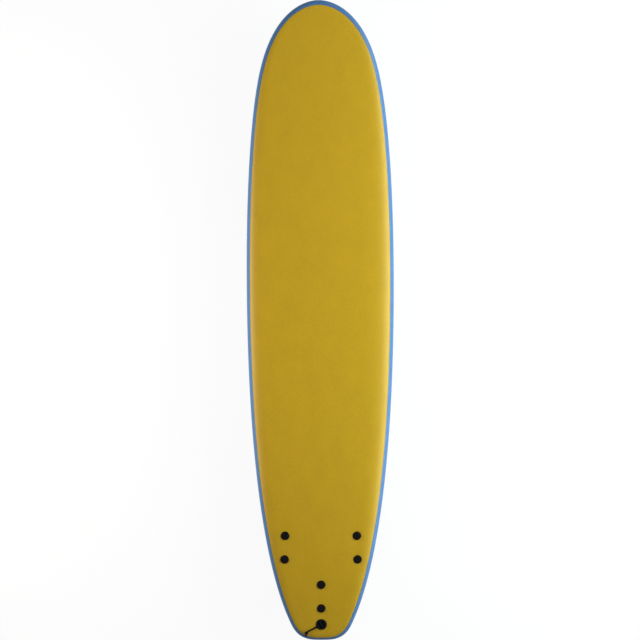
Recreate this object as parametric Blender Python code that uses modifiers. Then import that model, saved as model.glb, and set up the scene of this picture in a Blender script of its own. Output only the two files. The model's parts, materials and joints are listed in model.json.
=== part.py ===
# Soft-top surfboard, 8 feet long, built up as the real one is laminated and bolted together.
# A foam blank is sawn into three planks and glued up again with two wooden stringers. A yellow
# foam deck skin, two blue foam rail skins and a slick plastic bottom on a foam liner cover it.
# Three soft fins have posts that reach up through the board, and a bolt from the deck is
# screwed into each post. The leash plug is a cup in the deck, held by a base screwed on from
# the bottom, with a string looped round its pin.
#
# Frame, in metres: +Y to the nose, +X to the right seen from above, +Z up out of the deck.
# The lowest fin tip is at Z = 0, and Y = 0 is the middle of the board's length.
# The hull is worked out with its lowest bottom point at Z = 0, and an empty lifts the board.

import math

import bmesh
import bpy
import numpy as np
from mathutils import Matrix, Vector
from mathutils.bvhtree import BVHTree

# Plan outline of the right half: four Bezier arcs from the nose tip to the middle of the tail.
# Two arcs meet at a shoulder on one tangent. A pull is the length of a Bezier handle there.
LENGTH = 2.440
WIDTH = 0.568
WIDE_POINT_AHEAD = 0.181
NOSE_TIP_PULL = 0.040
NOSE_SHOULDER_BACK = 0.240
NOSE_SHOULDER_OUT = 0.222
NOSE_SHOULDER_ANGLE = math.radians(15.2)
NOSE_SHOULDER_FRONT_PULL = 0.224
NOSE_SHOULDER_REAR_PULL = 0.192
WIDE_POINT_FRONT_PULL = 0.256
WIDE_POINT_REAR_PULL = 0.819
TAIL_SHOULDER_AHEAD = 0.055
TAIL_SHOULDER_OUT = 0.114
TAIL_SHOULDER_ANGLE = math.radians(26.6)
TAIL_SHOULDER_FRONT_PULL = 0.176
TAIL_SHOULDER_REAR_PULL = 0.064
TAIL_BLOCK_PULL = 0.037

# Side view: the bottom's rise to each end, and the thickness along the centreline.
NOSE_ROCKER = 0.122
TAIL_ROCKER = 0.045
NOSE_ROCKER_POWER = 2.8
TAIL_ROCKER_POWER = 2.2
THICKNESS = 0.083
NOSE_TIP_THICKNESS = 0.030
TAIL_END_THICKNESS = 0.032
NOSE_FOIL_POWER = 2.0
TAIL_FOIL_POWER = 2.6

# Rail section. The apex is the rail's outermost line. The rolls are counted in thicknesses of
# the board at that place, so that the rails thin out with the foil.
APEX_SHARE = 0.42
DECK_ROLL_SHARE = 1.45
DECK_ROLL_POWER = 4.0
BOTTOM_ROLL_SHARE = 0.54
BOTTOM_ROLL_POWER = 2.5

# Where the skins meet, measured in from the outline in plan. The blue band round the deck gets
# wider towards the nose and the tail's corners, and is narrow again across the tail's end.
DECK_EDGE_IN = 0.0147
NOSE_BAND_EXTRA_WIDTH = 0.0058
TAIL_BAND_EXTRA_WIDTH = 0.0032
BAND_WIDTH_POWER = 8.0
TAIL_END_BAND_LOST_WIDTH = 0.0069
TAIL_END_BAND_POWER = 60.0
SLICK_EDGE_IN = 0.012

# Laminate, and the glue line or running gap between pieces that touch.
SKIN = 0.005
SLICK = 0.0010
GAP = 0.0003

# Stringers, as strips glued between the planks of the blank.
STRINGER_THICKNESS = 0.004
STRINGER_OUT = 0.070

# Grid of the loft: cells along each of the outline's arcs and across each run of the section,
# and how far in from the tips of the board the ribs fan out from the centreline.
ARC_COUNT = (6, 5, 8, 5)
DECK_FLAT_COUNT = 2
BOTTOM_FLAT_COUNT = 1
DECK_ROLL_COUNT = 4
UPPER_RAIL_COUNT = 3
LOWER_RAIL_COUNT = 2
BOTTOM_ROLL_COUNT = 2
RIB_FAN = 0.200
RIB_FAN_POWER = 4

# Fins. Each has a foot plate under the board and two threaded posts up into it.
BOLT_SPACING = 0.0905
SIDE_FIN_AHEAD = 0.358
SIDE_FIN_OUT = 0.1385
SIDE_FIN_TOE = math.radians(1.4)
SIDE_FIN_CANT = math.radians(4.0)
CENTRE_FIN_AHEAD = 0.170
FIN_DEPTH = 0.114
FIN_BASE = 0.104
FIN_TIP_BACK = 0.066
FIN_TIP_CHORD = 0.012
FIN_THICKNESS = 0.009
FIN_EDGE_THICKNESS = 0.0024
FIN_ROOT_FLARE = 0.0022
FOOT_LENGTH = 0.120
FOOT_WIDTH = 0.024
FOOT_THICKNESS = 0.003
POST_DIAMETER = 0.016
POST_HEIGHT = 0.026
THREAD_SPARE = 0.004

# Fin bolts, in a shallow pocket in the deck, each on a dished washer.
SHAFT_DIAMETER = 0.008
THREAD_ENGAGEMENT = 0.016
HEAD_DIAMETER = 0.0255
HEAD_HEIGHT = 0.0032
HEAD_CHAMFER = 0.0009
COIN_SLOT_WIDTH = 0.0028
COIN_SLOT_DEPTH = 0.0018
COIN_SLOT_LENGTH = 0.017
WASHER_DIAMETER = 0.0326
WASHER_WEB = 0.0012
WASHER_RIM_HEIGHT = 0.0032
POCKET_DEPTH = 0.0022

# Leash plug. The flange sits in a shallow pocket in the deck, and the base in one in the bottom.
PLUG_AHEAD = 0.063
FLANGE_DIAMETER = 0.0415
FLANGE_THICKNESS = 0.0030
FLANGE_POCKET = 0.0012
CUP_DIAMETER = 0.0300
CUP_BORE = 0.0250
CUP_DEPTH = 0.0130
CUP_FLOOR = 0.0025
CUP_LIP_RADIUS = 0.0012
STEM_DIAMETER = 0.010
STEM_SPARE = 0.004
BASE_DIAMETER = 0.034
BASE_FLANGE_THICKNESS = 0.003
BASE_TUBE_DIAMETER = 0.016
BASE_TUBE_CLEARANCE = 0.002
BASE_POCKET = 0.0022
PIN_DIAMETER = 0.0050
PIN_DEPTH = 0.0058
PIN_TURN = math.radians(27.7)
PIN_SOCKET = 0.0018

# Leash string: one cord, doubled over the pin, its two ends tied in a knot on the deck.
# Its places are in the plug's frame: +Z up out of the deck, +Y to the nose, origin at the deck.
# In the plug a place is its distance from the pin, square to it, and its height.
STRING_DIAMETER = 0.0030
STRING_POINT_SPACING = 0.0045
STRING_LEAD = 0.0010
STRING_OVER_PIN = ((0.0040, 0.0009), (0.0078, 0.0021), (0.0114, 0.0035))
STRING_UNDER_PIN = (
    (0.0035, -0.0078),
    (0.0057, -0.0065),
    (0.0072, -0.0045),
    (0.0078, -0.0020),
    (0.0084, 0.0001),
    (0.0098, 0.0021),
    (0.0121, 0.0036),
)
STRING_ON_DECK = (
    (-0.0130, -0.0068, 0.0041),
    (-0.0173, -0.0091, 0.0041),
    (-0.0214, -0.0113, 0.0030),
    (-0.0257, -0.0137, 0.0020),
    (-0.0306, -0.0163, 0.0019),
    (-0.0358, -0.0190, 0.0019),
    (-0.0413, -0.0217, 0.0018),
    (-0.0463, -0.0241, 0.0019),
    (-0.0503, -0.0260, 0.0023),
    (-0.0529, -0.0274, 0.0028),
)
KNOT_PLACE = (-0.0579, -0.0325, 0.0039)
KNOT_SIZE = (0.0125, 0.0140, 0.0090)
KNOT_TURN = math.radians(-26.0)
TAIL_START = (-0.0592, -0.0362, 0.0021)
TAIL_ENDS = ((-0.0628, -0.0448, -0.0013), (-0.0574, -0.0448, -0.0011))

# Colours in linear light, roughness and metallic value of each finish.
FINISHES = {
    "yellow foam": ((0.440, 0.290, 0.016), 0.62, 0.0),
    "blue foam": ((0.100, 0.225, 0.470), 0.55, 0.0),
    "blue slick": ((0.060, 0.170, 0.420), 0.28, 0.0),
    "white foam": ((0.850, 0.850, 0.830), 0.80, 0.0),
    "pale wood": ((0.520, 0.350, 0.180), 0.60, 0.0),
    "black fin": ((0.012, 0.012, 0.013), 0.50, 0.0),
    "black plastic": ((0.009, 0.009, 0.010), 0.38, 0.0),
    "black cord": ((0.008, 0.008, 0.009), 0.85, 0.0),
    "stainless": ((0.550, 0.550, 0.560), 0.28, 1.0),
}

HALF_LENGTH = LENGTH / 2
TURNED_STEPS = 16
BORE_SIDES = 12
OVERSHOOT = 0.020


# Scene, collections and materials


def clear_scene():
    for obj in list(bpy.data.objects):
        bpy.data.objects.remove(obj)


def new_collection(name, parent=None):
    made = bpy.data.collections.new(name)
    (parent or bpy.context.scene.collection).children.link(made)
    return made


def new_material(name):
    colour, roughness, metallic = FINISHES[name]
    material = bpy.data.materials.new(name)
    material.use_nodes = True
    material.diffuse_color = (*colour, 1.0)
    shader = material.node_tree.nodes["Principled BSDF"]
    shader.inputs["Base Color"].default_value = (*colour, 1.0)
    shader.inputs["Roughness"].default_value = roughness
    shader.inputs["Metallic"].default_value = metallic
    return material


def add_piece(name, mesh, finish, frame=None):
    """A named sub-part of the board, placed in the board's own frame."""
    obj = bpy.data.objects.new(name, mesh)
    PIECES.objects.link(obj)
    obj.parent = BOARD
    obj.matrix_basis = frame or Matrix()
    if not mesh.materials:
        mesh.materials.append(MATERIALS[finish])
    mesh.shade_smooth()
    mesh.set_sharp_from_angle(angle=math.radians(32))
    return obj


def add_cutter(name, mesh, collection, frame=None):
    """A tool body that never shows."""
    obj = bpy.data.objects.new(name, mesh)
    collection.objects.link(obj)
    obj.parent = BOARD
    obj.matrix_basis = frame or Matrix()
    obj.hide_render = True
    obj.display_type = "WIRE"
    return obj


def combine(obj, operation, other):
    """Boolean with one object, or with all the objects of a collection."""
    modifier = obj.modifiers.new(f"{operation.lower()} {other.name}", "BOOLEAN")
    modifier.solver = "EXACT"
    modifier.operation = operation
    if isinstance(other, bpy.types.Collection):
        modifier.operand_type = "COLLECTION"
        modifier.collection = other
    else:
        modifier.object = other


def mirror_to_left(obj):
    """Closes a half that is open at the centre plane."""
    modifier = obj.modifiers.new("left half", "MIRROR")
    modifier.merge_threshold = 0.0001


def cylinder_mesh(name, radius, low, high, sides=BORE_SIDES):
    """Closed cylinder on the Z axis from low to high."""
    bm = bmesh.new()
    bmesh.ops.create_cone(
        bm, cap_ends=True, segments=sides, radius1=radius, radius2=radius, depth=high - low
    )
    bmesh.ops.translate(bm, vec=(0, 0, (low + high) / 2), verts=bm.verts)
    mesh = bpy.data.meshes.new(name)
    bm.to_mesh(mesh)
    bm.free()
    return mesh


def box_mesh(name, low, high):
    """Closed box between two corners."""
    low, high = Vector(low), Vector(high)
    bm = bmesh.new()
    bmesh.ops.create_cube(bm, size=1.0)
    bmesh.ops.scale(bm, vec=high - low, verts=bm.verts)
    bmesh.ops.translate(bm, vec=(low + high) / 2, verts=bm.verts)
    mesh = bpy.data.meshes.new(name)
    bm.to_mesh(mesh)
    bm.free()
    return mesh


def profile_mesh(name, points, closed=False):
    """Profile in the XZ plane for a turned piece: down its outer side, from top to bottom."""
    count = len(points)
    edges = [(i, (i + 1) % count) for i in range(count if closed else count - 1)]
    mesh = bpy.data.meshes.new(name)
    mesh.from_pydata([(radius, 0.0, height) for radius, height in points], edges, [])
    return mesh


def turn_on_lathe(obj, steps=TURNED_STEPS):
    modifier = obj.modifiers.new("turned", "SCREW")
    modifier.axis = "Z"
    modifier.steps = steps
    modifier.render_steps = steps
    modifier.use_merge_vertices = True
    modifier.merge_threshold = 0.0001
    return obj


# Hull form


def bezier(start, pull_out, pull_in, end, share):
    rest = 1 - share
    return (
        rest**3 * start
        + 3 * rest**2 * share * pull_out
        + 3 * rest * share**2 * pull_in
        + share**3 * end
    )


def outline_points():
    """The right half of the plan outline, from the nose tip to the middle of the tail."""
    nose_tip = np.array([0.0, HALF_LENGTH])
    tail_middle = np.array([0.0, -HALF_LENGTH])
    wide_point = np.array([WIDTH / 2, WIDE_POINT_AHEAD])
    nose_shoulder = np.array([NOSE_SHOULDER_OUT, HALF_LENGTH - NOSE_SHOULDER_BACK])
    tail_shoulder = np.array([TAIL_SHOULDER_OUT, TAIL_SHOULDER_AHEAD - HALF_LENGTH])
    back = np.array([math.sin(NOSE_SHOULDER_ANGLE), -math.cos(NOSE_SHOULDER_ANGLE)])
    ahead = np.array([math.sin(TAIL_SHOULDER_ANGLE), math.cos(TAIL_SHOULDER_ANGLE)])
    to_side, to_nose = np.array([1.0, 0.0]), np.array([0.0, 1.0])
    arcs = (
        (
            nose_tip,
            nose_tip + NOSE_TIP_PULL * to_side,
            nose_shoulder - NOSE_SHOULDER_FRONT_PULL * back,
            nose_shoulder,
        ),
        (
            nose_shoulder,
            nose_shoulder + NOSE_SHOULDER_REAR_PULL * back,
            wide_point + WIDE_POINT_FRONT_PULL * to_nose,
            wide_point,
        ),
        (
            wide_point,
            wide_point - WIDE_POINT_REAR_PULL * to_nose,
            tail_shoulder + TAIL_SHOULDER_FRONT_PULL * ahead,
            tail_shoulder,
        ),
        (
            tail_shoulder,
            tail_shoulder - TAIL_SHOULDER_REAR_PULL * ahead,
            tail_middle + TAIL_BLOCK_PULL * to_side,
            tail_middle,
        ),
    )
    points = [nose_tip]
    for arc, cells in zip(arcs, ARC_COUNT):
        points += [bezier(*arc, step / cells) for step in range(1, cells + 1)]
    return points


def end_share(y):
    """0 in the middle of the board, 1 at either tip."""
    return min(abs(y) / HALF_LENGTH, 1.0)


def rocker_at(y):
    """Height of the bottom's centreline."""
    if y > 0:
        return NOSE_ROCKER * end_share(y) ** NOSE_ROCKER_POWER
    return TAIL_ROCKER * end_share(y) ** TAIL_ROCKER_POWER


def thickness_at(y):
    """Thickness on the centreline."""
    tip, power = (
        (NOSE_TIP_THICKNESS, NOSE_FOIL_POWER)
        if y > 0
        else (TAIL_END_THICKNESS, TAIL_FOIL_POWER)
    )
    return tip + (THICKNESS - tip) * (1 - end_share(y) ** power)


def deck_edge_at(y):
    """How far in from the outline the yellow deck skin ends."""
    share = end_share(y)
    if y > 0:
        return DECK_EDGE_IN + NOSE_BAND_EXTRA_WIDTH * share**BAND_WIDTH_POWER
    return (
        DECK_EDGE_IN
        + TAIL_BAND_EXTRA_WIDTH * share**BAND_WIDTH_POWER
        - TAIL_END_BAND_LOST_WIDTH * share**TAIL_END_BAND_POWER
    )


def rolled(distance_in, roll, power):
    """Share of its full height that the deck or bottom has, this far in from the outline."""
    return math.sqrt(1 - max(0.0, 1 - distance_in / roll) ** power)


def evenly(start, end, cells):
    """Values after start, in even steps, the last of them the end."""
    return [start + (end - start) * step / cells for step in range(1, cells + 1)]


def round_the_rail(roll, start, end, cells):
    """Distances in from the outline after start, evenly spaced in angle round the rail."""
    first, last = math.asin(1 - start / roll), math.asin(1 - end / roll)
    return [roll * (1 - math.sin(turn)) for turn in evenly(first, last, cells)]


def rib_section(x, y):
    """Points of the hull's surface along the rib of one outline point.

    They run from the deck's centreline over the rail to the bottom's centreline, in the order
    of the columns below. Each is placed by its distance in from the outline."""
    foot = y - math.copysign(RIB_FAN * end_share(y) ** RIB_FAN_POWER, y)
    span = math.hypot(x, y - foot)
    deck_roll = DECK_ROLL_SHARE * thickness_at(y)
    bottom_roll = BOTTOM_ROLL_SHARE * thickness_at(y)
    edge = deck_edge_at(y)
    over = [
        span,
        *evenly(span, deck_roll, DECK_FLAT_COUNT),
        *round_the_rail(deck_roll, deck_roll, edge, DECK_ROLL_COUNT),
        edge - GAP,
        *round_the_rail(deck_roll, edge - GAP, 0.0, UPPER_RAIL_COUNT),
    ]
    under = [
        *round_the_rail(bottom_roll, 0.0, SLICK_EDGE_IN - GAP, LOWER_RAIL_COUNT),
        SLICK_EDGE_IN,
        *round_the_rail(bottom_roll, SLICK_EDGE_IN, bottom_roll, BOTTOM_ROLL_COUNT),
        *evenly(bottom_roll, span, BOTTOM_FLAT_COUNT),
    ]
    points = []
    for index, distance in enumerate(over + under):
        along = distance / span
        here_y = y + (foot - y) * along
        thick = thickness_at(here_y)
        if index < len(over):
            rise = (1 - APEX_SHARE) * thick * rolled(distance, deck_roll, DECK_ROLL_POWER)
        else:
            rise = -APEX_SHARE * thick * rolled(distance, bottom_roll, BOTTOM_ROLL_POWER)
        points.append((x * (1 - along), here_y, rocker_at(here_y) + APEX_SHARE * thick + rise))
    return points


def column_ranges(*counts):
    """Column numbers of the grid, in runs of these lengths."""
    starts = np.cumsum([0, *counts])
    return [list(range(start, start + count)) for start, count in zip(starts, counts)]


DECK_COLUMNS, RAIL_COLUMNS, SLICK_COLUMNS = column_ranges(
    1 + DECK_FLAT_COUNT + DECK_ROLL_COUNT,
    1 + UPPER_RAIL_COUNT + LOWER_RAIL_COUNT,
    1 + BOTTOM_ROLL_COUNT + BOTTOM_FLAT_COUNT,
)
# The blank has no seams, so it leaves out the rail skins' own edge columns.
BLANK_COLUMNS = DECK_COLUMNS + RAIL_COLUMNS[1:-1] + SLICK_COLUMNS
APEX_COLUMN = RAIL_COLUMNS[UPPER_RAIL_COUNT]


def grid_triangles(ribs, columns):
    """Two triangles for each cell of the grid between the first and last of the columns.

    Every layer splits a cell on the same diagonal, so that the layers stay parallel. At the
    ends of the board the diagonals lead away from the centreline, where the ribs fan out."""
    width = len(columns)
    faces = []
    for rib in range(ribs - 1):
        for step in range(width - 1):
            a = rib * width + step
            b, c, d = a + width, a + width + 1, a + 1
            in_tail, underneath = 2 * rib >= ribs - 1, columns[step] >= APEX_COLUMN
            if in_tail == underneath:
                faces += [(a, b, c), (a, c, d)]
            else:
                faces += [(a, b, d), (b, c, d)]
    return faces


def surface_mesh(name, grid, columns):
    """The right half of a closed surface through some of the grid's columns."""
    mesh = bpy.data.meshes.new(name)
    points = grid[:, columns].reshape(-1, 3).tolist()
    mesh.from_pydata(points, [], grid_triangles(len(grid), columns))
    return mesh


def surface_normals(grid):
    """Unit normals of the hull's surface at each point of the grid."""
    mesh = surface_mesh("normals", grid, list(range(grid.shape[1])))
    bm = bmesh.new()
    bm.from_mesh(mesh)
    bm.normal_update()
    normals = np.array([vert.normal[:] for vert in bm.verts]).reshape(grid.shape)
    bm.free()
    bpy.data.meshes.remove(mesh)
    normals[grid[..., 0] == 0.0, 0] = 0.0
    # Across the centreline the hull is level, so only the line's own slope tilts it there.
    for column, side in ((DECK_COLUMNS[0], 1), (SLICK_COLUMNS[-1], -1)):
        line = grid[:, column]
        slope = np.gradient(line[:, 2], line[:, 1])
        normals[:, column] = side * np.stack([0 * slope, -slope, 1 + 0 * slope], axis=1)
    # The two edges of a seam share one direction, so that its walls stay parallel.
    for edge, other in ((DECK_COLUMNS[-1], RAIL_COLUMNS[0]), (RAIL_COLUMNS[-1], SLICK_COLUMNS[0])):
        shared = normals[:, edge] + normals[:, other]
        normals[:, edge] = normals[:, other] = shared
    return normals / np.linalg.norm(normals, axis=2, keepdims=True)


def strip_mesh(name, columns, outer_depth, inner_depth, seam=None):
    """Half of one layer of the laminate, between two depths below the hull's surface.

    Edges on the centre plane stay open for the mirror. With a seam, the strip is closed there
    and starts half a seam off the centre plane."""
    outer = HULL_GRID[:, columns] - outer_depth * HULL_NORMALS[:, columns]
    inner = HULL_GRID[:, columns] - inner_depth * HULL_NORMALS[:, columns]
    ribs, width = outer.shape[:2]
    count = ribs * width
    points = np.concatenate([outer.reshape(-1, 3), inner.reshape(-1, 3)])
    if seam:
        points[:, 0] = np.maximum(points[:, 0], seam / 2)

    def at(rib, column):
        return rib * width + column

    faces = grid_triangles(ribs, columns)
    faces += [tuple(count + i for i in reversed(triangle)) for triangle in faces]
    first, last = 0, width - 1
    for rib in range(ribs - 1):
        here, there = rib, rib + 1
        if columns[0] != DECK_COLUMNS[0]:
            a, b = at(there, first), at(here, first)
            faces.append((a, b, count + b, count + a))
        if columns[-1] != SLICK_COLUMNS[-1]:
            a, b = at(here, last), at(there, last)
            faces.append((a, b, count + b, count + a))
    if seam:
        for column in range(width - 1):
            a, b = at(0, column), at(0, column + 1)
            faces.append((a, b, count + b, count + a))
            a, b = at(ribs - 1, column + 1), at(ribs - 1, column)
            faces.append((a, b, count + b, count + a))
    mesh = bpy.data.meshes.new(name)
    mesh.from_pydata(points.tolist(), [], faces)
    return mesh


def mirrored_mesh(name, mesh):
    """A copy of a right-hand mesh for the left side."""
    bm = bmesh.new()
    bm.from_mesh(mesh)
    bmesh.ops.scale(bm, vec=(-1, 1, 1), verts=bm.verts)
    bmesh.ops.reverse_faces(bm, faces=bm.faces)
    made = bpy.data.meshes.new(name)
    bm.to_mesh(made)
    bm.free()
    return made


def hull_probe():
    """The whole outer surface, for finding where a line meets it."""
    right = surface_mesh("probe", HULL_GRID, BLANK_COLUMNS)
    bm = bmesh.new()
    bm.from_mesh(right)
    bm.from_mesh(mirrored_mesh("probe left", right))
    probe = BVHTree.FromBMesh(bm)
    bm.free()
    return probe


def meet_hull(origin, direction):
    """Where a line meets the hull, and the outward normal there."""
    point, normal, _, _ = PROBE.ray_cast(Vector(origin), Vector(direction))
    return point, normal


def frame_on(point, up, turn=0.0):
    """A frame at a point: +Z along up, +Y towards the nose, then turned about +Z."""
    side = Vector((0, 1, 0)).cross(up).normalized()
    axes = Matrix((side, up.cross(side), up)).transposed().to_4x4()
    return Matrix.Translation(point) @ axes @ Matrix.Rotation(turn, 4, "Z")


# Blank: foam planks and stringers


def build_blank():
    """Three foam planks and two stringers, sawn from one blank that fills the skins."""
    blank_grid = HULL_GRID - (SKIN + GAP) * HULL_NORMALS
    reach = LENGTH
    inner = STRINGER_OUT - STRINGER_THICKNESS / 2
    outer = STRINGER_OUT + STRINGER_THICKNESS / 2
    pieces = (
        ("foam_core_left", "white foam", -reach, -outer - GAP),
        ("stringer_left", "pale wood", -outer, -inner),
        ("foam_core_centre", "white foam", -inner + GAP, inner - GAP),
        ("stringer_right", "pale wood", inner, outer),
        ("foam_core_right", "white foam", outer + GAP, reach),
    )
    for name, finish, left, right in pieces:
        piece = add_piece(name, surface_mesh(name, blank_grid, BLANK_COLUMNS), finish)
        mirror_to_left(piece)
        slab = box_mesh(f"slab {name}", (left, -reach, -reach), (right, reach, reach))
        combine(piece, "INTERSECT", add_cutter(f"slab {name}", slab, SLABS))
        if name.startswith("foam"):
            combine(piece, "DIFFERENCE", BORES)


# Skins


def build_skins():
    """Deck skin, rail skins, foam liner and slick bottom, each a layer of the hull's form."""
    deck = add_piece("deck_skin", strip_mesh("deck_skin", DECK_COLUMNS, 0, SKIN), "yellow foam")
    slick = add_piece("slick_bottom", strip_mesh("slick_bottom", SLICK_COLUMNS, 0, SLICK), "blue slick")
    liner = add_piece(
        "bottom_liner", strip_mesh("bottom_liner", SLICK_COLUMNS, SLICK + GAP, SKIN), "white foam"
    )
    for layer in (deck, slick, liner):
        mirror_to_left(layer)
        combine(layer, "DIFFERENCE", BORES)
    combine(deck, "DIFFERENCE", DECK_POCKETS)
    combine(slick, "DIFFERENCE", BOTTOM_POCKETS)
    combine(liner, "DIFFERENCE", BOTTOM_POCKETS)
    right_rail = strip_mesh("rail_skin_right", RAIL_COLUMNS, 0, SKIN, seam=GAP)
    add_piece("rail_skin_right", right_rail, "blue foam")
    add_piece("rail_skin_left", mirrored_mesh("rail_skin_left", right_rail), "blue foam")


# Fins


def foil_half_thickness(share, thickness):
    """Half the blade's thickness at a share of the chord from the leading edge."""
    fullness = (
        2.969 * math.sqrt(share)
        - 1.260 * share
        - 3.516 * share**2
        + 2.843 * share**3
        - 1.036 * share**4
    )
    edge = FIN_EDGE_THICKNESS / 2
    return edge + (thickness / 2 - edge) * max(fullness, 0.0)


def blade_mesh(name, root_depth, cant):
    """Raked blade, lofted from foil sections that swing round towards the tip."""
    half_base = FIN_BASE / 2
    lead = (
        np.array([half_base, 0.0]),
        np.array([half_base - 0.46 * FIN_TIP_BACK, 0.62 * FIN_DEPTH]),
        np.array([0.12 * FIN_TIP_BACK, 0.97 * FIN_DEPTH]),
        np.array([FIN_TIP_CHORD - FIN_TIP_BACK, FIN_DEPTH]),
    )
    trail = (
        np.array([-half_base, 0.0]),
        np.array([-half_base + 0.26 * FIN_BASE, 0.36 * FIN_DEPTH]),
        np.array([-0.74 * FIN_TIP_BACK, 0.72 * FIN_DEPTH]),
        np.array([-FIN_TIP_BACK, 0.955 * FIN_DEPTH]),
    )
    chord_shares = (0.02, 0.10, 0.26, 0.50, 0.78, 0.97)
    level_shares = (0.0, 0.05, 0.18, 0.34, 0.50, 0.66, 0.80, 0.91, 1.0)
    rings = []
    for level in level_shares:
        front, rear = bezier(*lead, level), bezier(*trail, level)
        thickness = FIN_THICKNESS + (FIN_EDGE_THICKNESS - FIN_THICKNESS) * level**2
        flare = FIN_ROOT_FLARE if level == 0.0 else 0.0
        outer = [(share, foil_half_thickness(share, thickness) + flare) for share in chord_shares]
        ring = [(0.0, 0.0), *outer, (1.0, 0.0), *[(share, -half) for share, half in reversed(outer)]]
        points = []
        for share, half in ring:
            y, depth = front + (rear - front) * share
            points.append((half + depth * math.tan(cant), y, -root_depth - depth))
        rings.append(points)
    bm = bmesh.new()
    made = [[bm.verts.new(point) for point in ring] for ring in rings]
    size = len(made[0])
    for upper, lower in zip(made, made[1:]):
        for i in range(size):
            j = (i + 1) % size
            bm.faces.new((upper[i], upper[j], lower[j], lower[i]))
    bm.faces.new(reversed(made[0]))
    bm.faces.new(made[-1])
    bmesh.ops.recalc_face_normals(bm, faces=bm.faces)
    mesh = bpy.data.meshes.new(name)
    bm.to_mesh(mesh)
    bm.free()
    return mesh


def foot_mesh(name):
    """Foot plate with round ends: a disc whose two halves are moved apart."""
    mesh = cylinder_mesh(name, FOOT_WIDTH / 2, -GAP - FOOT_THICKNESS, -GAP, TURNED_STEPS)
    mesh.transform(Matrix.Rotation(math.pi / TURNED_STEPS, 4, "Z"))
    shift = (FOOT_LENGTH - FOOT_WIDTH) / 2
    for vertex in mesh.vertices:
        vertex.co.y += math.copysign(shift, vertex.co.y)
    return mesh


def bolt_places():
    """Where the two bolts of a fin stand, in the fin's frame."""
    return {"front": BOLT_SPACING / 2, "rear": -BOLT_SPACING / 2}


def build_fin(name, x, ahead_of_tail, toe, cant):
    """A fin on the bottom, the bores for its posts, and the two bolts that hold it."""
    over = (x, ahead_of_tail - HALF_LENGTH, 1.0)
    on_deck, _ = meet_hull(over, (0, 0, -1))
    _, down = meet_hull((x, over[1], -1.0), (0, 0, 1))
    up = -down
    foot, _ = meet_hull(on_deck - 0.001 * up, down)
    frame = frame_on(foot, up, toe)
    fin = add_piece(f"fin_{name}", foot_mesh(f"fin_{name}"), "black fin", frame)
    blade = blade_mesh(f"blade {name}", GAP + FOOT_THICKNESS / 2, cant)
    combine(fin, "UNION", add_cutter(f"blade {name}", blade, FIN_TOOLS, frame))
    for place, along in bolt_places().items():
        axis = frame @ Matrix.Translation((0, along, 0))
        label = f"{name}_{place}"
        post = cylinder_mesh(
            f"post {label}", POST_DIAMETER / 2, -GAP - FOOT_THICKNESS / 2, POST_HEIGHT
        )
        thread = cylinder_mesh(
            f"thread {label}",
            SHAFT_DIAMETER / 2 + GAP,
            POST_HEIGHT - THREAD_ENGAGEMENT - THREAD_SPARE,
            POST_HEIGHT + OVERSHOOT,
        )
        combine(fin, "UNION", add_cutter(f"post {label}", post, FIN_TOOLS, axis))
        combine(fin, "DIFFERENCE", add_cutter(f"thread {label}", thread, FIN_TOOLS, axis))
        top, _ = meet_hull(axis @ Vector((0, 0, POST_HEIGHT)), up)
        build_fin_bolt(label, axis, (axis.inverted() @ top).z)


def build_fin_bolt(label, axis, board_thickness):
    """One bolt with its washer, its bore through the board and its pocket in the deck."""
    bore = cylinder_mesh(
        f"bore {label}", POST_DIAMETER / 2 + GAP, -OVERSHOOT, board_thickness + OVERSHOOT
    )
    add_cutter(f"bore {label}", bore, BORES, axis)
    seat = board_thickness - POCKET_DEPTH
    pocket = cylinder_mesh(
        f"pocket {label}",
        WASHER_DIAMETER / 2 + GAP,
        seat,
        board_thickness + OVERSHOOT,
        sides=TURNED_STEPS,
    )
    add_cutter(f"pocket {label}", pocket, DECK_POCKETS, axis)

    washer_low = seat + GAP
    dish = washer_low + WASHER_WEB
    rim_top = washer_low + WASHER_RIM_HEIGHT
    hole, dish_radius, rim = SHAFT_DIAMETER / 2 + GAP, HEAD_DIAMETER / 2 + GAP, WASHER_DIAMETER / 2
    washer_profile = [
        (dish_radius, rim_top),
        (rim - HEAD_CHAMFER, rim_top),
        (rim, washer_low),
        (hole, washer_low),
        (hole, dish),
        (dish_radius, dish),
    ]
    washer = profile_mesh(f"fin_washer_{label}", washer_profile, closed=True)
    turn_on_lathe(add_piece(f"fin_washer_{label}", washer, "black plastic", axis))

    head_low = dish + GAP
    head_top = head_low + HEAD_HEIGHT
    shaft_end = POST_HEIGHT - THREAD_ENGAGEMENT
    head, shaft = HEAD_DIAMETER / 2, SHAFT_DIAMETER / 2
    bolt_profile = [
        (0.0, head_top),
        (head - HEAD_CHAMFER, head_top),
        (head, head_top - HEAD_CHAMFER),
        (head, head_low),
        (shaft, head_low),
        (shaft, shaft_end + HEAD_CHAMFER),
        (shaft - HEAD_CHAMFER, shaft_end),
        (0.0, shaft_end),
    ]
    bolt = add_piece(
        f"fin_bolt_{label}", profile_mesh(f"fin_bolt_{label}", bolt_profile), "black plastic", axis
    )
    turn_on_lathe(bolt)
    half_slot = Vector((COIN_SLOT_WIDTH / 2, COIN_SLOT_LENGTH / 2, 0))
    slot = box_mesh(
        f"coin slot {label}",
        Vector((0, 0, head_top - COIN_SLOT_DEPTH)) - half_slot,
        Vector((0, 0, head_top + COIN_SLOT_DEPTH)) + half_slot,
    )
    combine(bolt, "DIFFERENCE", add_cutter(f"coin slot {label}", slot, SLOT_TOOLS, axis))


# Leash plug


def plug_frame():
    """The leash plug stands square to the deck."""
    on_deck, up = meet_hull((0, PLUG_AHEAD - HALF_LENGTH, 1.0), (0, 0, -1))
    return frame_on(on_deck, up)


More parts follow.
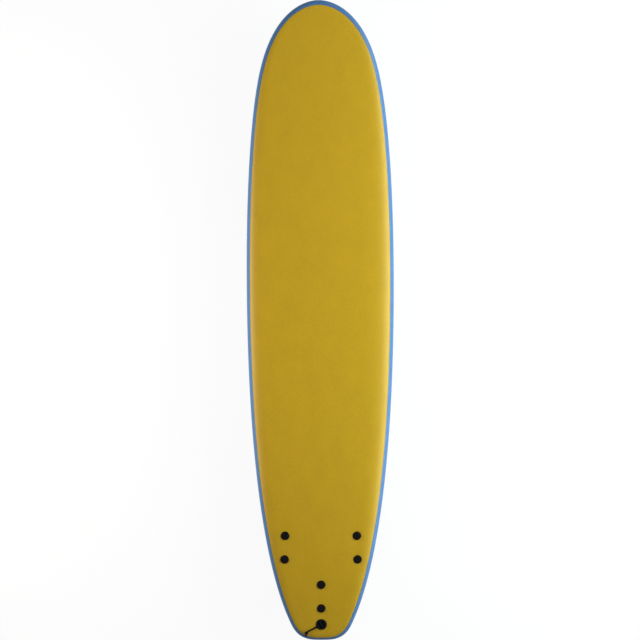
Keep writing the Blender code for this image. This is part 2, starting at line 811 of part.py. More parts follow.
def build_leash_plug():
    frame = plug_frame()
    up = frame.to_3x3() @ Vector((0, 0, 1))
    on_bottom, _ = meet_hull(frame.translation - 0.001 * up, -up)
    bottom = (frame.inverted() @ on_bottom).z
    flange_low = GAP - FLANGE_POCKET
    top = flange_low + FLANGE_THICKNESS
    floor, cup_low = top - CUP_DEPTH, top - CUP_DEPTH - CUP_FLOOR
    base_seat = bottom + BASE_POCKET
    base_high = base_seat - GAP
    base_low = base_high - BASE_FLANGE_THICKNESS
    stem_low = base_high + STEM_SPARE
    bore, cup, flange, stem = CUP_BORE / 2, CUP_DIAMETER / 2, FLANGE_DIAMETER / 2, STEM_DIAMETER / 2
    tube, base = BASE_TUBE_DIAMETER / 2, BASE_DIAMETER / 2
    lip_turns = [math.radians(angle) for angle in (0, 45, 90)]
    lip = [
        (
            bore + CUP_LIP_RADIUS * (1 - math.cos(turn)),
            top - CUP_LIP_RADIUS * (1 - math.sin(turn)),
        )
        for turn in lip_turns
    ]
    cup_profile = [
        (0.0, floor),
        (bore, floor),
        *lip,
        (flange - CUP_LIP_RADIUS, top),
        (flange, top - CUP_LIP_RADIUS),
        (flange, flange_low),
        (cup, flange_low),
        (cup, cup_low),
        (stem, cup_low),
        (stem, stem_low),
        (0.0, stem_low),
    ]
    cup_piece = add_piece(
        "leash_plug_cup", profile_mesh("leash_plug_cup", cup_profile), "black plastic", frame
    )
    turn_on_lathe(cup_piece)

    pin_reach = bore + PIN_SOCKET
    pin_frame = (
        frame
        @ Matrix.Rotation(PIN_TURN, 4, "Z")
        @ Matrix.Translation((0, 0, top - PIN_DEPTH))
        @ Matrix.Rotation(math.pi / 2, 4, "X")
    )
    socket = cylinder_mesh(
        "pin sockets", PIN_DIAMETER / 2 + GAP, -pin_reach - GAP, pin_reach + GAP, sides=12
    )
    combine(cup_piece, "DIFFERENCE", add_cutter("pin sockets", socket, PLUG_TOOLS, pin_frame))
    pin = cylinder_mesh("leash_plug_pin", PIN_DIAMETER / 2, -pin_reach, pin_reach, sides=12)
    add_piece("leash_plug_pin", pin, "stainless", pin_frame)

    tube_top = cup_low - BASE_TUBE_CLEARANCE
    base_profile = [
        (0.0, base_high),
        (stem + GAP, base_high),
        (stem + GAP, tube_top),
        (tube, tube_top),
        (tube, base_high),
        (base, base_high),
        (base, base_low + HEAD_CHAMFER),
        (base - HEAD_CHAMFER, base_low),
        (0.0, base_low),
    ]
    base_piece = add_piece(
        "leash_plug_base", profile_mesh("leash_plug_base", base_profile), "black plastic", frame
    )
    turn_on_lathe(base_piece)

    cup_hole = cylinder_mesh(
        "cup hole", cup + GAP, cup_low - GAP, top + OVERSHOOT, sides=TURNED_STEPS
    )
    tube_hole = cylinder_mesh("tube hole", tube + GAP, bottom - OVERSHOOT, cup_low + GAP)
    flange_pocket = cylinder_mesh(
        "flange pocket", flange + GAP, -FLANGE_POCKET, top + OVERSHOOT, sides=TURNED_STEPS
    )
    base_pocket = cylinder_mesh(
        "base pocket", base + GAP, bottom - OVERSHOOT, base_seat, sides=TURNED_STEPS
    )
    add_cutter("cup hole", cup_hole, BORES, frame)
    add_cutter("tube hole", tube_hole, BORES, frame)
    add_cutter("flange pocket", flange_pocket, DECK_POCKETS, frame)
    add_cutter("base pocket", base_pocket, BOTTOM_POCKETS, frame)


# Leash string


def smooth_route(places, spacing):
    """Points, about one spacing apart, on a smooth curve through the places."""
    places = [Vector(place) for place in places]
    before, after = 2 * places[0] - places[1], 2 * places[-1] - places[-2]
    reach = [before, *places, after]
    route = [places[0]]
    for previous, start, end, following in zip(reach, reach[1:], reach[2:], reach[3:]):
        pull_out, pull_in = start + (end - previous) / 6, end - (following - start) / 6
        cells = max(1, round((end - start).length / spacing))
        route += [bezier(start, pull_out, pull_in, end, step / cells) for step in range(1, cells + 1)]
    return route


def add_string_piece(name, route, frame):
    """A tube of the string's diameter along a route in the plug's frame."""
    curve = bpy.data.curves.new(name, "CURVE")
    curve.dimensions = "3D"
    curve.bevel_depth = STRING_DIAMETER / 2
    curve.bevel_resolution = 2
    curve.use_fill_caps = True
    spline = curve.splines.new("POLY")
    spline.points.add(len(route) - 1)
    for point, place in zip(spline.points, route):
        point.co = (*place, 1.0)
    curve.materials.append(MATERIALS["black cord"])
    piece = bpy.data.objects.new(name, curve)
    PIECES.objects.link(piece)
    piece.parent = BOARD
    piece.matrix_basis = frame


def build_leash_string():
    """The half turn round the pin, the two strands side by side, and the knot."""
    frame = plug_frame()
    outward = Vector((-math.cos(PIN_TURN), -math.sin(PIN_TURN), 0))
    along_pin = Vector((-math.sin(PIN_TURN), math.cos(PIN_TURN), 0))
    pin_height = GAP - FLANGE_POCKET + FLANGE_THICKNESS - PIN_DEPTH
    turn_cells = 6
    wrap = (PIN_DIAMETER / 2 + GAP + STRING_DIAMETER / 2) / math.cos(math.pi / turn_cells / 2)
    apart = (STRING_DIAMETER + GAP) / 2

    def beside_pin(distance, height, side):
        return distance * outward + Vector((0, 0, height)) + side * apart * along_pin

    half_turn = [beside_pin(STRING_LEAD, pin_height + wrap, 1)]
    for step in range(turn_cells + 1):
        turn = math.pi * step / turn_cells
        height = pin_height + wrap * math.cos(turn)
        half_turn.append(beside_pin(-wrap * math.sin(turn), height, math.cos(turn)))
    half_turn.append(beside_pin(STRING_LEAD, pin_height - wrap, -1))
    add_string_piece("leash_string_bight", half_turn, frame)

    strands = (("upper", STRING_OVER_PIN, 1), ("lower", STRING_UNDER_PIN, -1))
    for name, in_plug, side in strands:
        places = [(STRING_LEAD + GAP, pin_height + side * wrap), *in_plug]
        middle = [distance * outward + Vector((0, 0, height)) for distance, height in places]
        middle += [Vector(place) for place in STRING_ON_DECK]
        route = []
        for index, place in enumerate(middle):
            ahead = middle[min(index + 1, len(middle) - 1)] - middle[max(index - 1, 0)]
            across = Vector((ahead.y, -ahead.x, 0)).normalized()
            route.append(place + side * apart * across)
        add_string_piece(
            f"leash_string_strand_{name}", smooth_route(route, STRING_POINT_SPACING), frame
        )

    knot_frame = frame @ Matrix.Translation(KNOT_PLACE) @ Matrix.Rotation(KNOT_TURN, 4, "Z")
    bm = bmesh.new()
    bmesh.ops.create_uvsphere(bm, u_segments=12, v_segments=8, radius=0.5)
    bmesh.ops.scale(bm, vec=KNOT_SIZE, verts=bm.verts)
    mesh = bpy.data.meshes.new("leash_string_knot")
    bm.to_mesh(mesh)
    bm.free()
    knot = add_piece("leash_string_knot", mesh, "black cord", knot_frame)
    for index, end in enumerate(TAIL_ENDS):
        tail = Vector(end) - Vector(TAIL_START)
        tail_frame = (
            frame
            @ Matrix.Translation(TAIL_START)
            @ tail.to_track_quat("Z", "Y").to_matrix().to_4x4()
        )
        cylinder = cylinder_mesh(f"string tail {index}", STRING_DIAMETER / 2, 0, tail.length, 8)
        combine(knot, "UNION", add_cutter(f"string tail {index}", cylinder, PLUG_TOOLS, tail_frame))


def lift_board():
    """Sets the lowest fin tip at height 0."""
    bpy.context.view_layer.update()
    graph = bpy.context.evaluated_depsgraph_get()
    lowest = 0.0
    for name in ("fin_left", "fin_right", "fin_centre"):
        fin = bpy.data.objects[name].evaluated_get(graph)
        mesh = fin.to_mesh()
        lowest = min(lowest, *[(fin.matrix_world @ vertex.co).z for vertex in mesh.vertices])
        fin.to_mesh_clear()
    BOARD.location.z = -lowest


clear_scene()
PIECES = new_collection("soft-top surfboard")
TOOLS = new_collection("cutters")
SLABS, BORES, DECK_POCKETS, BOTTOM_POCKETS, FIN_TOOLS, SLOT_TOOLS, PLUG_TOOLS = (
    new_collection(name, TOOLS)
    for name in (
        "sawn slabs",
        "bores",
        "deck pockets",
        "bottom pockets",
        "fin tools",
        "slot tools",
        "plug tools",
    )
)
BOARD = bpy.data.objects.new("board", None)
PIECES.objects.link(BOARD)
MATERIALS = {name: new_material(name) for name in FINISHES}
HULL_GRID = np.array([rib_section(x, y) for x, y in outline_points()])
HULL_NORMALS = surface_normals(HULL_GRID)
PROBE = hull_probe()

build_fin("left", -SIDE_FIN_OUT, SIDE_FIN_AHEAD, -SIDE_FIN_TOE, -SIDE_FIN_CANT)
build_fin("right", SIDE_FIN_OUT, SIDE_FIN_AHEAD, SIDE_FIN_TOE, SIDE_FIN_CANT)
build_fin("centre", 0.0, CENTRE_FIN_AHEAD, 0.0, 0.0)
build_leash_plug()
build_leash_string()
build_blank()
build_skins()
lift_board()
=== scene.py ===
# %% [markdown]
# # Dressing a soft-top surfboard
#
# The engineering model of the board is already made: its hull, fins, bolts, leash plug and
# string each have their true place and size. This lesson gives each of them the finish that
# the real board has, and finer shapes where a close look needs them. It starts from an empty
# scene and loads the model as a fixed frame.

# %% Load the frame
import json
import math

import bmesh
import bpy
import numpy as np
from mathutils import Matrix, Vector

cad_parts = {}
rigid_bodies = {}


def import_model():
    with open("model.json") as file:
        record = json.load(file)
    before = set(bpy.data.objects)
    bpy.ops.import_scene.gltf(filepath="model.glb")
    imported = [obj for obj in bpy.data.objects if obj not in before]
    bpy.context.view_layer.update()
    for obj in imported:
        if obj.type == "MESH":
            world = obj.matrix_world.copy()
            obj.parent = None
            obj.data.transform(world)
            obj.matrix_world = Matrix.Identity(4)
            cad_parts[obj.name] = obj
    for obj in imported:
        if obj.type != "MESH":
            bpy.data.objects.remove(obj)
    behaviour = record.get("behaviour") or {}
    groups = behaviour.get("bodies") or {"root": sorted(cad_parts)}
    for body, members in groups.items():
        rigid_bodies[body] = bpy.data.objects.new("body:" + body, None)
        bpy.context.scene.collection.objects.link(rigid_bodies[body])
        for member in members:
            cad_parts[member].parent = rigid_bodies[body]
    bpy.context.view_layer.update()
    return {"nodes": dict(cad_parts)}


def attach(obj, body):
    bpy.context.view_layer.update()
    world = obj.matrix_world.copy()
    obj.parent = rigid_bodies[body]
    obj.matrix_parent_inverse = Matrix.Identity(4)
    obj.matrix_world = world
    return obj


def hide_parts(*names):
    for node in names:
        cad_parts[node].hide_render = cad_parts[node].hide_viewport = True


for startup_object in list(bpy.data.objects):
    bpy.data.objects.remove(startup_object)
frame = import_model()

# %% [markdown]
# ## Camera
#
# The board lies deck up with its nose to +Y, and a picture of it standing on its tail is the
# same as a picture taken from straight above. A camera 5.5 m up, with a lens that just takes
# in 2.44 m, sees it almost without perspective. It stands a little to the right, and is
# turned by a quarter of a degree, as a camera held by hand is.

# %% Camera
CAMERA_PLACE = Vector((0.110, 0.0084, 5.5))
CAMERA_AIM = Vector((-0.0012, 0.0084, 0.130))
CAMERA_LENS = 78.35
CAMERA_ROLL = math.radians(-0.23)


def aimed(place, aim, roll=0.0):
    """A frame at a place that looks down its own -Z at the aim, with +Y up in the picture."""
    back = (place - aim).normalized()
    side = Vector((0, 1, 0)).cross(back).normalized()
    axes = Matrix((side, back.cross(side), back)).transposed().to_4x4()
    return Matrix.Translation(place) @ axes @ Matrix.Rotation(roll, 4, "Z")


camera = bpy.data.objects.new("camera", bpy.data.cameras.new("camera"))
bpy.context.scene.collection.objects.link(camera)
camera.data.lens = CAMERA_LENS
camera.matrix_world = aimed(CAMERA_PLACE, CAMERA_AIM, CAMERA_ROLL)
bpy.context.scene.camera = camera
print("camera", tuple(round(c, 3) for c in CAMERA_PLACE), "lens", CAMERA_LENS, "mm")

# %% [markdown]
# ## A shorthand for nodes
#
# Materials and Geometry Nodes are both trees of nodes joined by links. Adding and linking
# each one by hand makes long scripts in which a formula is hard to see. Here a `Field` stands
# for one output of a node, and adding or multiplying fields adds the Math nodes that do it.
# `Nodes` adds any other node, and takes its inputs by name or by number.

# %% Fields
class Field:
    """One output of a node, which can be used in sums like a number."""

    def __init__(self, nodes, socket):
        self.nodes, self.socket = nodes, socket

    def math(self, operation, *others):
        inputs = dict(enumerate((self, *others)))
        return self.nodes.get("ShaderNodeMath", 0, inputs, operation=operation)

    def __add__(self, other):
        return self.math("ADD", other)

    def __sub__(self, other):
        return self.math("SUBTRACT", other)

    def __mul__(self, other):
        return self.math("MULTIPLY", other)

    def __truediv__(self, other):
        return self.math("DIVIDE", other)

    def __pow__(self, other):
        return self.math("POWER", other)

    def __rsub__(self, other):
        return self * -1.0 + other

    __radd__ = __add__


# %% Nodes
class Nodes:
    """Adds nodes to a tree and lays them out in rows."""

    def __init__(self, tree):
        self.tree = tree

    def feed(self, socket, value):
        """Links an input to another node's output, or sets it to a plain value."""
        if isinstance(value, Field):
            value = value.socket
        if isinstance(value, bpy.types.NodeSocket):
            self.tree.links.new(value, socket)
        else:
            socket.default_value = value

    def add(self, kind, inputs=(), **settings):
        node = self.tree.nodes.new(kind)
        for name, value in settings.items():
            setattr(node, name, value)
        for name, value in dict(inputs).items():
            self.feed(node.inputs[name], value)
        row, column = divmod(len(self.tree.nodes), 12)
        node.location = (200 * column, -320 * row)
        return node

    def get(self, kind, output, inputs=(), **settings):
        return Field(self, self.add(kind, inputs, **settings).outputs[output])

    def geo(self, kind, inputs=(), output=0, **settings):
        """One output of a Geometry node, by the last words of its type."""
        return self.get(f"GeometryNode{kind}", output, inputs, **settings)

    def vector(self, x, y, z):
        return self.get("ShaderNodeCombineXYZ", 0, {"X": x, "Y": y, "Z": z})

    def parts(self, vector):
        node = self.add("ShaderNodeSeparateXYZ", {0: vector})
        return [Field(self, socket) for socket in node.outputs]


# %% [markdown]
# ## Finishes
#
# Every finish starts from a Principled shader and reads Object coordinates, so a pattern has
# its real size in metres and stays on the piece. A `Finish` is the tree of one material.
# `grain` is a noise pattern of a given size, which may be stretched along an axis, and
# `cells` a pattern of irregular cells. `tones` turns a pattern into colour, and `end` feeds
# the shader and turns a pattern into bumps.

# %% Colours
def linear(red, green, blue):
    """Linear light from a colour written as screen values from 0 to 255."""
    shares = (channel / 255 for channel in (red, green, blue))
    return tuple(
        share / 12.92 if share <= 0.04045 else ((share + 0.055) / 1.055) ** 2.4
        for share in shares
    )


def tinted(colour, share):
    return tuple(channel * share for channel in colour)


print("middle grey, 128 on the screen, is", round(linear(128, 128, 128)[0], 3), "in linear light")


# %% A finish as a tree
class Finish(Nodes):
    """The tree of a new material. Its constants are set on the shader's own sockets."""

    def __init__(self, name, **constants):
        self.material = bpy.data.materials.new(name)
        self.material.use_nodes = True
        super().__init__(self.material.node_tree)
        self.shader = self.tree.nodes["Principled BSDF"]
        for label, value in constants.items():
            self.shader.inputs[label.replace("_", " ")].default_value = value
        self.place = self.get("ShaderNodeTexCoord", "Object")

    def grain(self, size, stretch=(1, 1, 1), detail=2.0, roughness=0.55):
        """Noise from 0 to 1 whose grains are about this size in metres."""
        inputs = {"Vector": self.place, "Scale": tuple(1 / s for s in stretch)}
        scaled = self.get("ShaderNodeMapping", 0, inputs)
        inputs = {"Vector": scaled, "Scale": 1 / size, "Detail": detail, "Roughness": roughness}
        return self.get("ShaderNodeTexNoise", 0, inputs)

    def cells(self, per_metre):
        """How far each point is from the middle of its cell."""
        inputs = {"Vector": self.place, "Scale": per_metre}
        return self.get("ShaderNodeTexVoronoi", "Distance", inputs)

    def tones(self, pattern, *stops):
        """Colour from a pattern: each stop is a place from 0 to 1 and a linear colour."""
        node = self.add("ShaderNodeValToRGB", {0: pattern})
        ramp = node.color_ramp
        while len(ramp.elements) < len(stops):
            ramp.elements.new(0.5)
        for element, (place, colour) in zip(ramp.elements, stops):
            element.position = place
            element.color = (*colour, 1.0)
        return Field(self, node.outputs[0])

    def end(self, base, roughness, height, depth):
        """Feeds the shader. A height from 0 to 1 makes bumps of this depth in metres."""
        bumps = self.get("ShaderNodeBump", 0, {"Distance": depth, "Height": height})
        self.feed(self.shader.inputs["Base Color"], base)
        self.feed(self.shader.inputs["Roughness"], roughness)
        self.feed(self.shader.inputs["Normal"], bumps)
        return self.material


# %% [markdown]
# ## Closed-cell foam
#
# The deck and the rails are soft sheets of closed-cell polyethylene foam, heat-sealed on the
# blank. Its skin is dull, with a fine leathery grain of about a millimetre, small pores, and
# faint cloudy patches where the sheet was heated a little more. Three noises, fine, middling
# and broad, mottle the colour, and the fine one with the pores gives the bumps. The roughness
# follows the fine grain, so that a strong light breaks up as it does on foam.

# %% Foam finishes
CLOUD_SIZE = 0.055
CRUMB_SIZE = 0.0048
PORES_PER_METRE = 520.0


def foam_finish(name, colour, grain_size, depth, gloss, specular):
    finish = Finish(name, Specular_IOR_Level=specular)
    fine = finish.grain(grain_size, detail=3.0, roughness=0.6)
    clouds = finish.grain(CLOUD_SIZE, stretch=(1, 1.6, 1))
    crumbs = finish.grain(CRUMB_SIZE, detail=1.0)
    pores = finish.cells(PORES_PER_METRE).math("MINIMUM", 0.4)
    mottle = fine * 0.45 + crumbs * 0.35 + clouds * 0.20
    shades = (0.30, tinted(colour, 0.84)), (0.50, colour), (0.70, tinted(colour, 1.13))
    base = finish.tones(mottle, *shades)
    return finish.end(base, fine * 0.16 + (gloss - 0.08), fine * 0.7 + pores * 0.6, depth)


DECK_FOAM = foam_finish("deck foam", linear(178, 140, 3), 0.0016, 0.00035, 0.50, 0.36)
RAIL_FOAM = foam_finish("rail foam", linear(58, 103, 151), 0.0012, 0.00020, 0.40, 0.34)
print("foam finishes:", DECK_FOAM.name, "and", RAIL_FOAM.name)

# %% [markdown]
# ## Slick bottom
#
# The bottom is a hard, glossy sheet of high-density polyethylene. It is smooth to the touch,
# slightly wavy where it follows the foam under it, and it takes fine scratches along the
# board from sand. Noise that is stretched 45 times along Y makes the scratches, and a broad,
# shallow one makes the waves.

# %% Slick finish
SCRATCH_WIDTH = 0.0011
WAVE_SIZE = 0.045


def slick_finish():
    finish = Finish("slick plastic", Specular_IOR_Level=0.45)
    scratches = finish.grain(SCRATCH_WIDTH, stretch=(1, 45, 1))
    waves = finish.grain(WAVE_SIZE, detail=1.0)
    blue = linear(62, 118, 186)
    base = finish.tones(waves, (0.3, tinted(blue, 0.92)), (0.7, tinted(blue, 1.06)))
    return finish.end(base, scratches * 0.22 + 0.14, scratches * 0.12 + waves, 0.0006)


SLICK = slick_finish()
print("bottom finish:", SLICK.name)

# %% [markdown]
# ## Black plastic, soft fins, steel and string
#
# The washers and the leash plug are moulded in black nylon with a fine spark-eroded grain, and
# the bolts in one that has faded to a warm dark grey. The fins are a softer black plastic, with a
# coarser grain and faint scuffs. The pin across the plug is steel rod with a very dark colour,
# brushed along its length. The string is braided from nylon yarns: an attribute on its mesh, made
# further down, says how high each yarn lies, and the string's colour is darker in the hollows
# between them, which is painted shade, and lighter on their tops, which is a painted highlight.

# %% Plastic, metal and string finishes
SCUFF_SIZE = 0.012
BRUSH_WIDTH = 0.0004
FIBRE_SIZE = 0.00025


def moulded_finish(name, colour, grain_size, depth, gloss, specular, scuffs):
    finish = Finish(name, Specular_IOR_Level=specular)
    fine = finish.grain(grain_size)
    rubbed = finish.grain(SCUFF_SIZE, stretch=(1, 3, 1), detail=4.0, roughness=0.7)
    pale = tuple(channel + scuffs for channel in colour)
    base = finish.tones(rubbed, (0.35, colour), (0.62, colour), (0.80, pale))
    return finish.end(base, fine * 0.12 + rubbed * 0.16 + (gloss - 0.14), fine, depth)


def steel_finish():
    finish = Finish("blackened steel rod", Metallic=1.0)
    brushed = finish.grain(BRUSH_WIDTH, stretch=(1, 1, 12))
    # The rod's metal colour is kept very dark, from 0.008 to 0.023 in linear light.
    base = finish.tones(brushed, (0.2, (0.008, 0.008, 0.008)), (0.8, (0.022, 0.022, 0.023)))
    return finish.end(base, brushed * 0.20 + 0.34, brushed, 0.00003)


def string_finish():
    finish = Finish("braided string", Specular_IOR_Level=0.06)
    yarn = finish.get("ShaderNodeAttribute", "Fac", attribute_name="yarn")
    fibres = finish.grain(FIBRE_SIZE)
    # Painted shade and a painted highlight: the colour is darker where a yarn lies low, in the
    # hollows, and lighter on the yarns' tops.
    dark, light = (0.0003, 0.0003, 0.0003), (0.004, 0.004, 0.0045)
    base = finish.tones(yarn * 0.8 + fibres * 0.2, (0.15, dark), (0.85, light))
    return finish.end(base, fibres * 0.25 + 0.60, fibres, 0.00008)


HARDWARE = moulded_finish("black nylon", linear(6, 5, 6), 0.0006, 0.00005, 0.46, 0.07, 0.001)
BOLT_NYLON = moulded_finish("bolt nylon", linear(16, 11, 11), 0.0006, 0.00005, 0.44, 0.06, 0.002)
FIN_PLASTIC = moulded_finish("fin plastic", linear(24, 24, 25), 0.0011, 0.0001, 0.50, 0.22, 0.010)
STEEL = steel_finish()
STRING = string_finish()
for finish in (HARDWARE, BOLT_NYLON, FIN_PLASTIC, STEEL, STRING):
    print("finish:", finish.name)

# %% [markdown]
# ## What lies inside
#
# The core, the stringers and the liner don't show on a finished board, but the model keeps
# them as pieces of their own. Moulded bead foam is a packing of white beads, which cells of
# Voronoi noise give. Wood has long wavy growth lines, and a sheet liner has very fine cells.

# %% Finishes of the inside
BEAD_SIZE = 0.0042
LINER_CELL_SIZE = 0.0011
WOOD_FIBRE_WIDTH = 0.0009
GROWTH_WAVE_SIZE = 0.09
GROWTH_LINE_PACE = 1400.0
GROWTH_WAVE_REACH = 26.0


def bead_finish(name, bead_size, shade, depth):
    finish = Finish(name, Specular_IOR_Level=0.20)
    beads = finish.cells(1 / bead_size)
    bead, seam = tinted((1, 1, 0.98), shade), tinted((1, 1, 0.97), 0.88 * shade)
    base = finish.tones(beads, (0.45, bead), (0.85, seam))
    return finish.end(base, beads * 0.12 + 0.70, 1.0 - beads, depth)


def wood_finish():
    finish = Finish("stringer wood", Specular_IOR_Level=0.25)
    drift = finish.grain(GROWTH_WAVE_SIZE, stretch=(1, 9, 1))
    up = finish.parts(finish.place)[2]
    wave = up * GROWTH_LINE_PACE + drift * GROWTH_WAVE_REACH
    lines = wave.math("SINE") * 0.5 + 0.5
    fibre = finish.grain(WOOD_FIBRE_WIDTH, stretch=(1, 30, 1))
    dark, light = linear(176, 132, 84), linear(214, 176, 124)
    base = finish.tones(lines * 0.6 + fibre * 0.4, (0.2, dark), (0.8, light))
    return finish.end(base, fibre * 0.2 + 0.52, lines * 0.5 + fibre * 0.5, 0.0002)


BEAD_FOAM = bead_finish("bead foam", BEAD_SIZE, 0.86, 0.0005)
LINER_FOAM = bead_finish("liner foam", LINER_CELL_SIZE, 0.80, 0.0001)
WOOD = wood_finish()
KEPT_NODES = {
    "foam_core_left": BEAD_FOAM,
    "foam_core_centre": BEAD_FOAM,
    "foam_core_right": BEAD_FOAM,
    "bottom_liner": LINER_FOAM,
    "stringer_left": WOOD,
    "stringer_right": WOOD,
}
for node_name, finish in KEPT_NODES.items():
    node = frame["nodes"][node_name]
    node.data.materials.clear()
    node.data.materials.append(finish)
print("kept from the frame:", ", ".join(KEPT_NODES))

# %% [markdown]
# ## Trees that make meshes
#
# Each Geometry Nodes tree below is made by a function, with its sizes as named inputs. `grow`
# puts a tree on an object as a modifier, sets the inputs that differ from their defaults, and
# `settle` turns the result into a plain mesh. An input is set by its identifier, because its
# name is only a label.

# %% Make a tree
SOCKET_KINDS = {
    int: "NodeSocketInt",
    float: "NodeSocketFloat",
    bool: "NodeSocketBool",
    tuple: "NodeSocketVector",
    bpy.types.Material: "NodeSocketMaterial",
    bpy.types.Object: "NodeSocketObject",
}


def new_tree(name, inputs):
    """A Geometry Nodes tree: its node helper, and its inputs as fields by their names."""
    tree = bpy.data.node_groups.new(name, "GeometryNodeTree")
    tree.is_modifier = True
    for way in ("OUTPUT", "INPUT"):
        tree.interface.new_socket("Geometry", in_out=way, socket_type="NodeSocketGeometry")
    for label, value in inputs.items():
        kind = value if isinstance(value, type) else type(value)
        socket = tree.interface.new_socket(label, in_out="INPUT", socket_type=SOCKET_KINDS[kind])
        if not isinstance(value, type):
            socket.default_value = value
    nodes = Nodes(tree)
    given = nodes.add("NodeGroupInput")
    return nodes, {socket.name: Field(nodes, socket) for socket in given.outputs if socket.name}


def end_tree(nodes, geometry, material):
    """The last nodes of every tree: real geometry instead of instances, and its material."""
    real = nodes.geo("RealizeInstances", {0: geometry})
    smooth = nodes.geo("SetShadeSmooth", {"Geometry": real})
    finished = nodes.geo("SetMaterial", {"Geometry": smooth, "Material": material})
    nodes.add("NodeGroupOutput", {0: finished})
    return nodes.tree


print("a tree's inputs can be:", ", ".join(kind.__name__ for kind in SOCKET_KINDS))


# %% Grow and settle a piece
def new_mesh(name, points=(), edges=(), faces=()):
    mesh = bpy.data.meshes.new(name)
    mesh.from_pydata([tuple(point) for point in points], edges, faces)
    return mesh


def new_piece(name, mesh, *finishes):
    """An object at the origin, with its place in its mesh."""
    piece = bpy.data.objects.new(name, mesh)
    bpy.context.scene.collection.objects.link(piece)
    for finish in finishes:
        mesh.materials.append(finish)
    return piece


def grow(name, tree, mesh=None, **inputs):
    """A new object that a tree fills, from a mesh if it needs one."""
    piece = new_piece(name, mesh or new_mesh(name))
    modifier = piece.modifiers.new(tree.name, "NODES")
    modifier.node_group = tree
    identifiers = {item.name: item.identifier for item in tree.interface.items_tree}
    for label, value in inputs.items():
        modifier[identifiers[label.replace("_", " ")]] = value
    return piece


def settle(piece, crease=35.0):
    """Turns what the modifiers make into a plain mesh, sharp at edges over this angle."""
    graph = bpy.context.evaluated_depsgraph_get()
    mesh = bpy.data.meshes.new_from_object(piece.evaluated_get(graph), depsgraph=graph)
    mesh.name = piece.name
    finish = next(material for material in mesh.materials if material)
    mesh.materials.clear()
    mesh.materials.append(finish)
    mesh.polygons.foreach_set("material_index", [0] * len(mesh.polygons))
    piece.modifiers.clear()
    piece.data = mesh
    mesh.shade_smooth()
    mesh.set_sharp_from_angle(angle=math.radians(crease))
    print(piece.name, len(mesh.polygons), "faces")
    return piece


# %% [markdown]
# ## Leash string
#
# A braided nylon cord of 3 mm is doubled over the pin of the leash plug. Its two strands
# come up over the rim, lie side by side on the deck and end in a knot near the edge. The cord
# is limp, so it follows whatever it lies on. The whole cord is about 0.22 m long: 60 and
# 66 mm in the strands, 16 mm round the pin, 55 mm in the knot, and two ends of 10 mm.
#
# The route below is given in the plug's own frame, with +Z up out of the deck.

# %% Measures of the string
CORD_DIAMETER = 0.0030
CORD_POINT_SPACING = 0.0045
GAP = 0.0003
PLUG_PLACE = Vector((0.0, -1.157, 0.17042))
PLUG_UP = Vector((0.0, -0.02244, 0.99975)).normalized()
PIN_TURN = math.radians(27.7)
PIN_HEIGHT = -0.0037
PIN_RADIUS = 0.0025
# How far the cord's middle keeps from the pin's. The model's string goes round the pin in
# straight steps of 30 degrees, and the middle of each step still clears the pin.
WRAP = (PIN_RADIUS + GAP + CORD_DIAMETER / 2) / math.cos(math.radians(15))
BIGHT_STEPS = 12
APART = (CORD_DIAMETER + GAP) / 2
LEAD = 0.0010
OVER_PIN = ((0.0040, 0.0009), (0.0078, 0.0021), (0.0114, 0.0035))
UNDER_PIN = (
    (0.0035, -0.0078),
    (0.0057, -0.0065),
    (0.0072, -0.0045),
    (0.0078, -0.0020),
    (0.0084, 0.0001),
    (0.0098, 0.0021),
    (0.0121, 0.0036),
)
ON_DECK = (
    (-0.0130, -0.0068, 0.0041),
    (-0.0173, -0.0091, 0.0041),
    (-0.0214, -0.0113, 0.0030),
    (-0.0257, -0.0137, 0.0020),
    (-0.0306, -0.0163, 0.0019),
    (-0.0358, -0.0190, 0.0019),
    (-0.0413, -0.0217, 0.0018),
    (-0.0463, -0.0241, 0.0019),
    (-0.0503, -0.0260, 0.0023),
    (-0.0529, -0.0274, 0.0028),
)
print("the string goes round the pin", round(WRAP * 1000, 2), "mm from the pin's middle")


# %% Route of the string
def standing_frame(place, up):
    """A frame with +Z along up and +Y towards the nose."""
    side = Vector((0, 1, 0)).cross(up).normalized()
    return Matrix.Translation(place) @ Matrix((side, up.cross(side), up)).transposed().to_4x4()


PLUG_FRAME = standing_frame(PLUG_PLACE, PLUG_UP)
OUTWARD = Vector((-math.cos(PIN_TURN), -math.sin(PIN_TURN), 0))
ALONG_PIN = Vector((-math.sin(PIN_TURN), math.cos(PIN_TURN), 0))


def bezier(start, pull_out, pull_in, end, share):
    """The point at a share of a Bezier arc, given by its ends and the handles between."""
    rest = 1 - share
    return (
        rest**3 * start
        + 3 * rest**2 * share * pull_out
        + 3 * rest * share**2 * pull_in
        + share**3 * end
    )


def smooth_route(places, spacing):
    """Points about one spacing apart on a smooth curve through the places."""
    places = [Vector(place) for place in places]
    reach = [2 * places[0] - places[1], *places, 2 * places[-1] - places[-2]]
    route = [places[0]]
    for before, start, end, after in zip(reach, reach[1:], reach[2:], reach[3:]):
        pull_out, pull_in = start + (end - before) / 6, end - (after - start) / 6
        steps = max(1, round((end - start).length / spacing))
        for step in range(1, steps + 1):
            route.append(bezier(start, pull_out, pull_in, end, step / steps))
    return route


def beside_pin(distance, height, side):
    return distance * OUTWARD + Vector((0, 0, height)) + side * APART * ALONG_PIN


def strand_route(in_plug, side):
    """One strand, from the pin over the rim to the knot."""
    places = [(LEAD + GAP, PIN_HEIGHT + side * WRAP), *in_plug]
    middle = [beside_pin(distance, height, 0) for distance, height in places]
    middle += [Vector(place) for place in ON_DECK]
    route = []
    for index, place in enumerate(middle):
        ahead = middle[min(index + 1, len(middle) - 1)] - middle[max(index - 1, 0)]
        across = Vector((ahead.y, -ahead.x, 0)).normalized()
        route.append(place + side * APART * across)
    return smooth_route(route, CORD_POINT_SPACING)


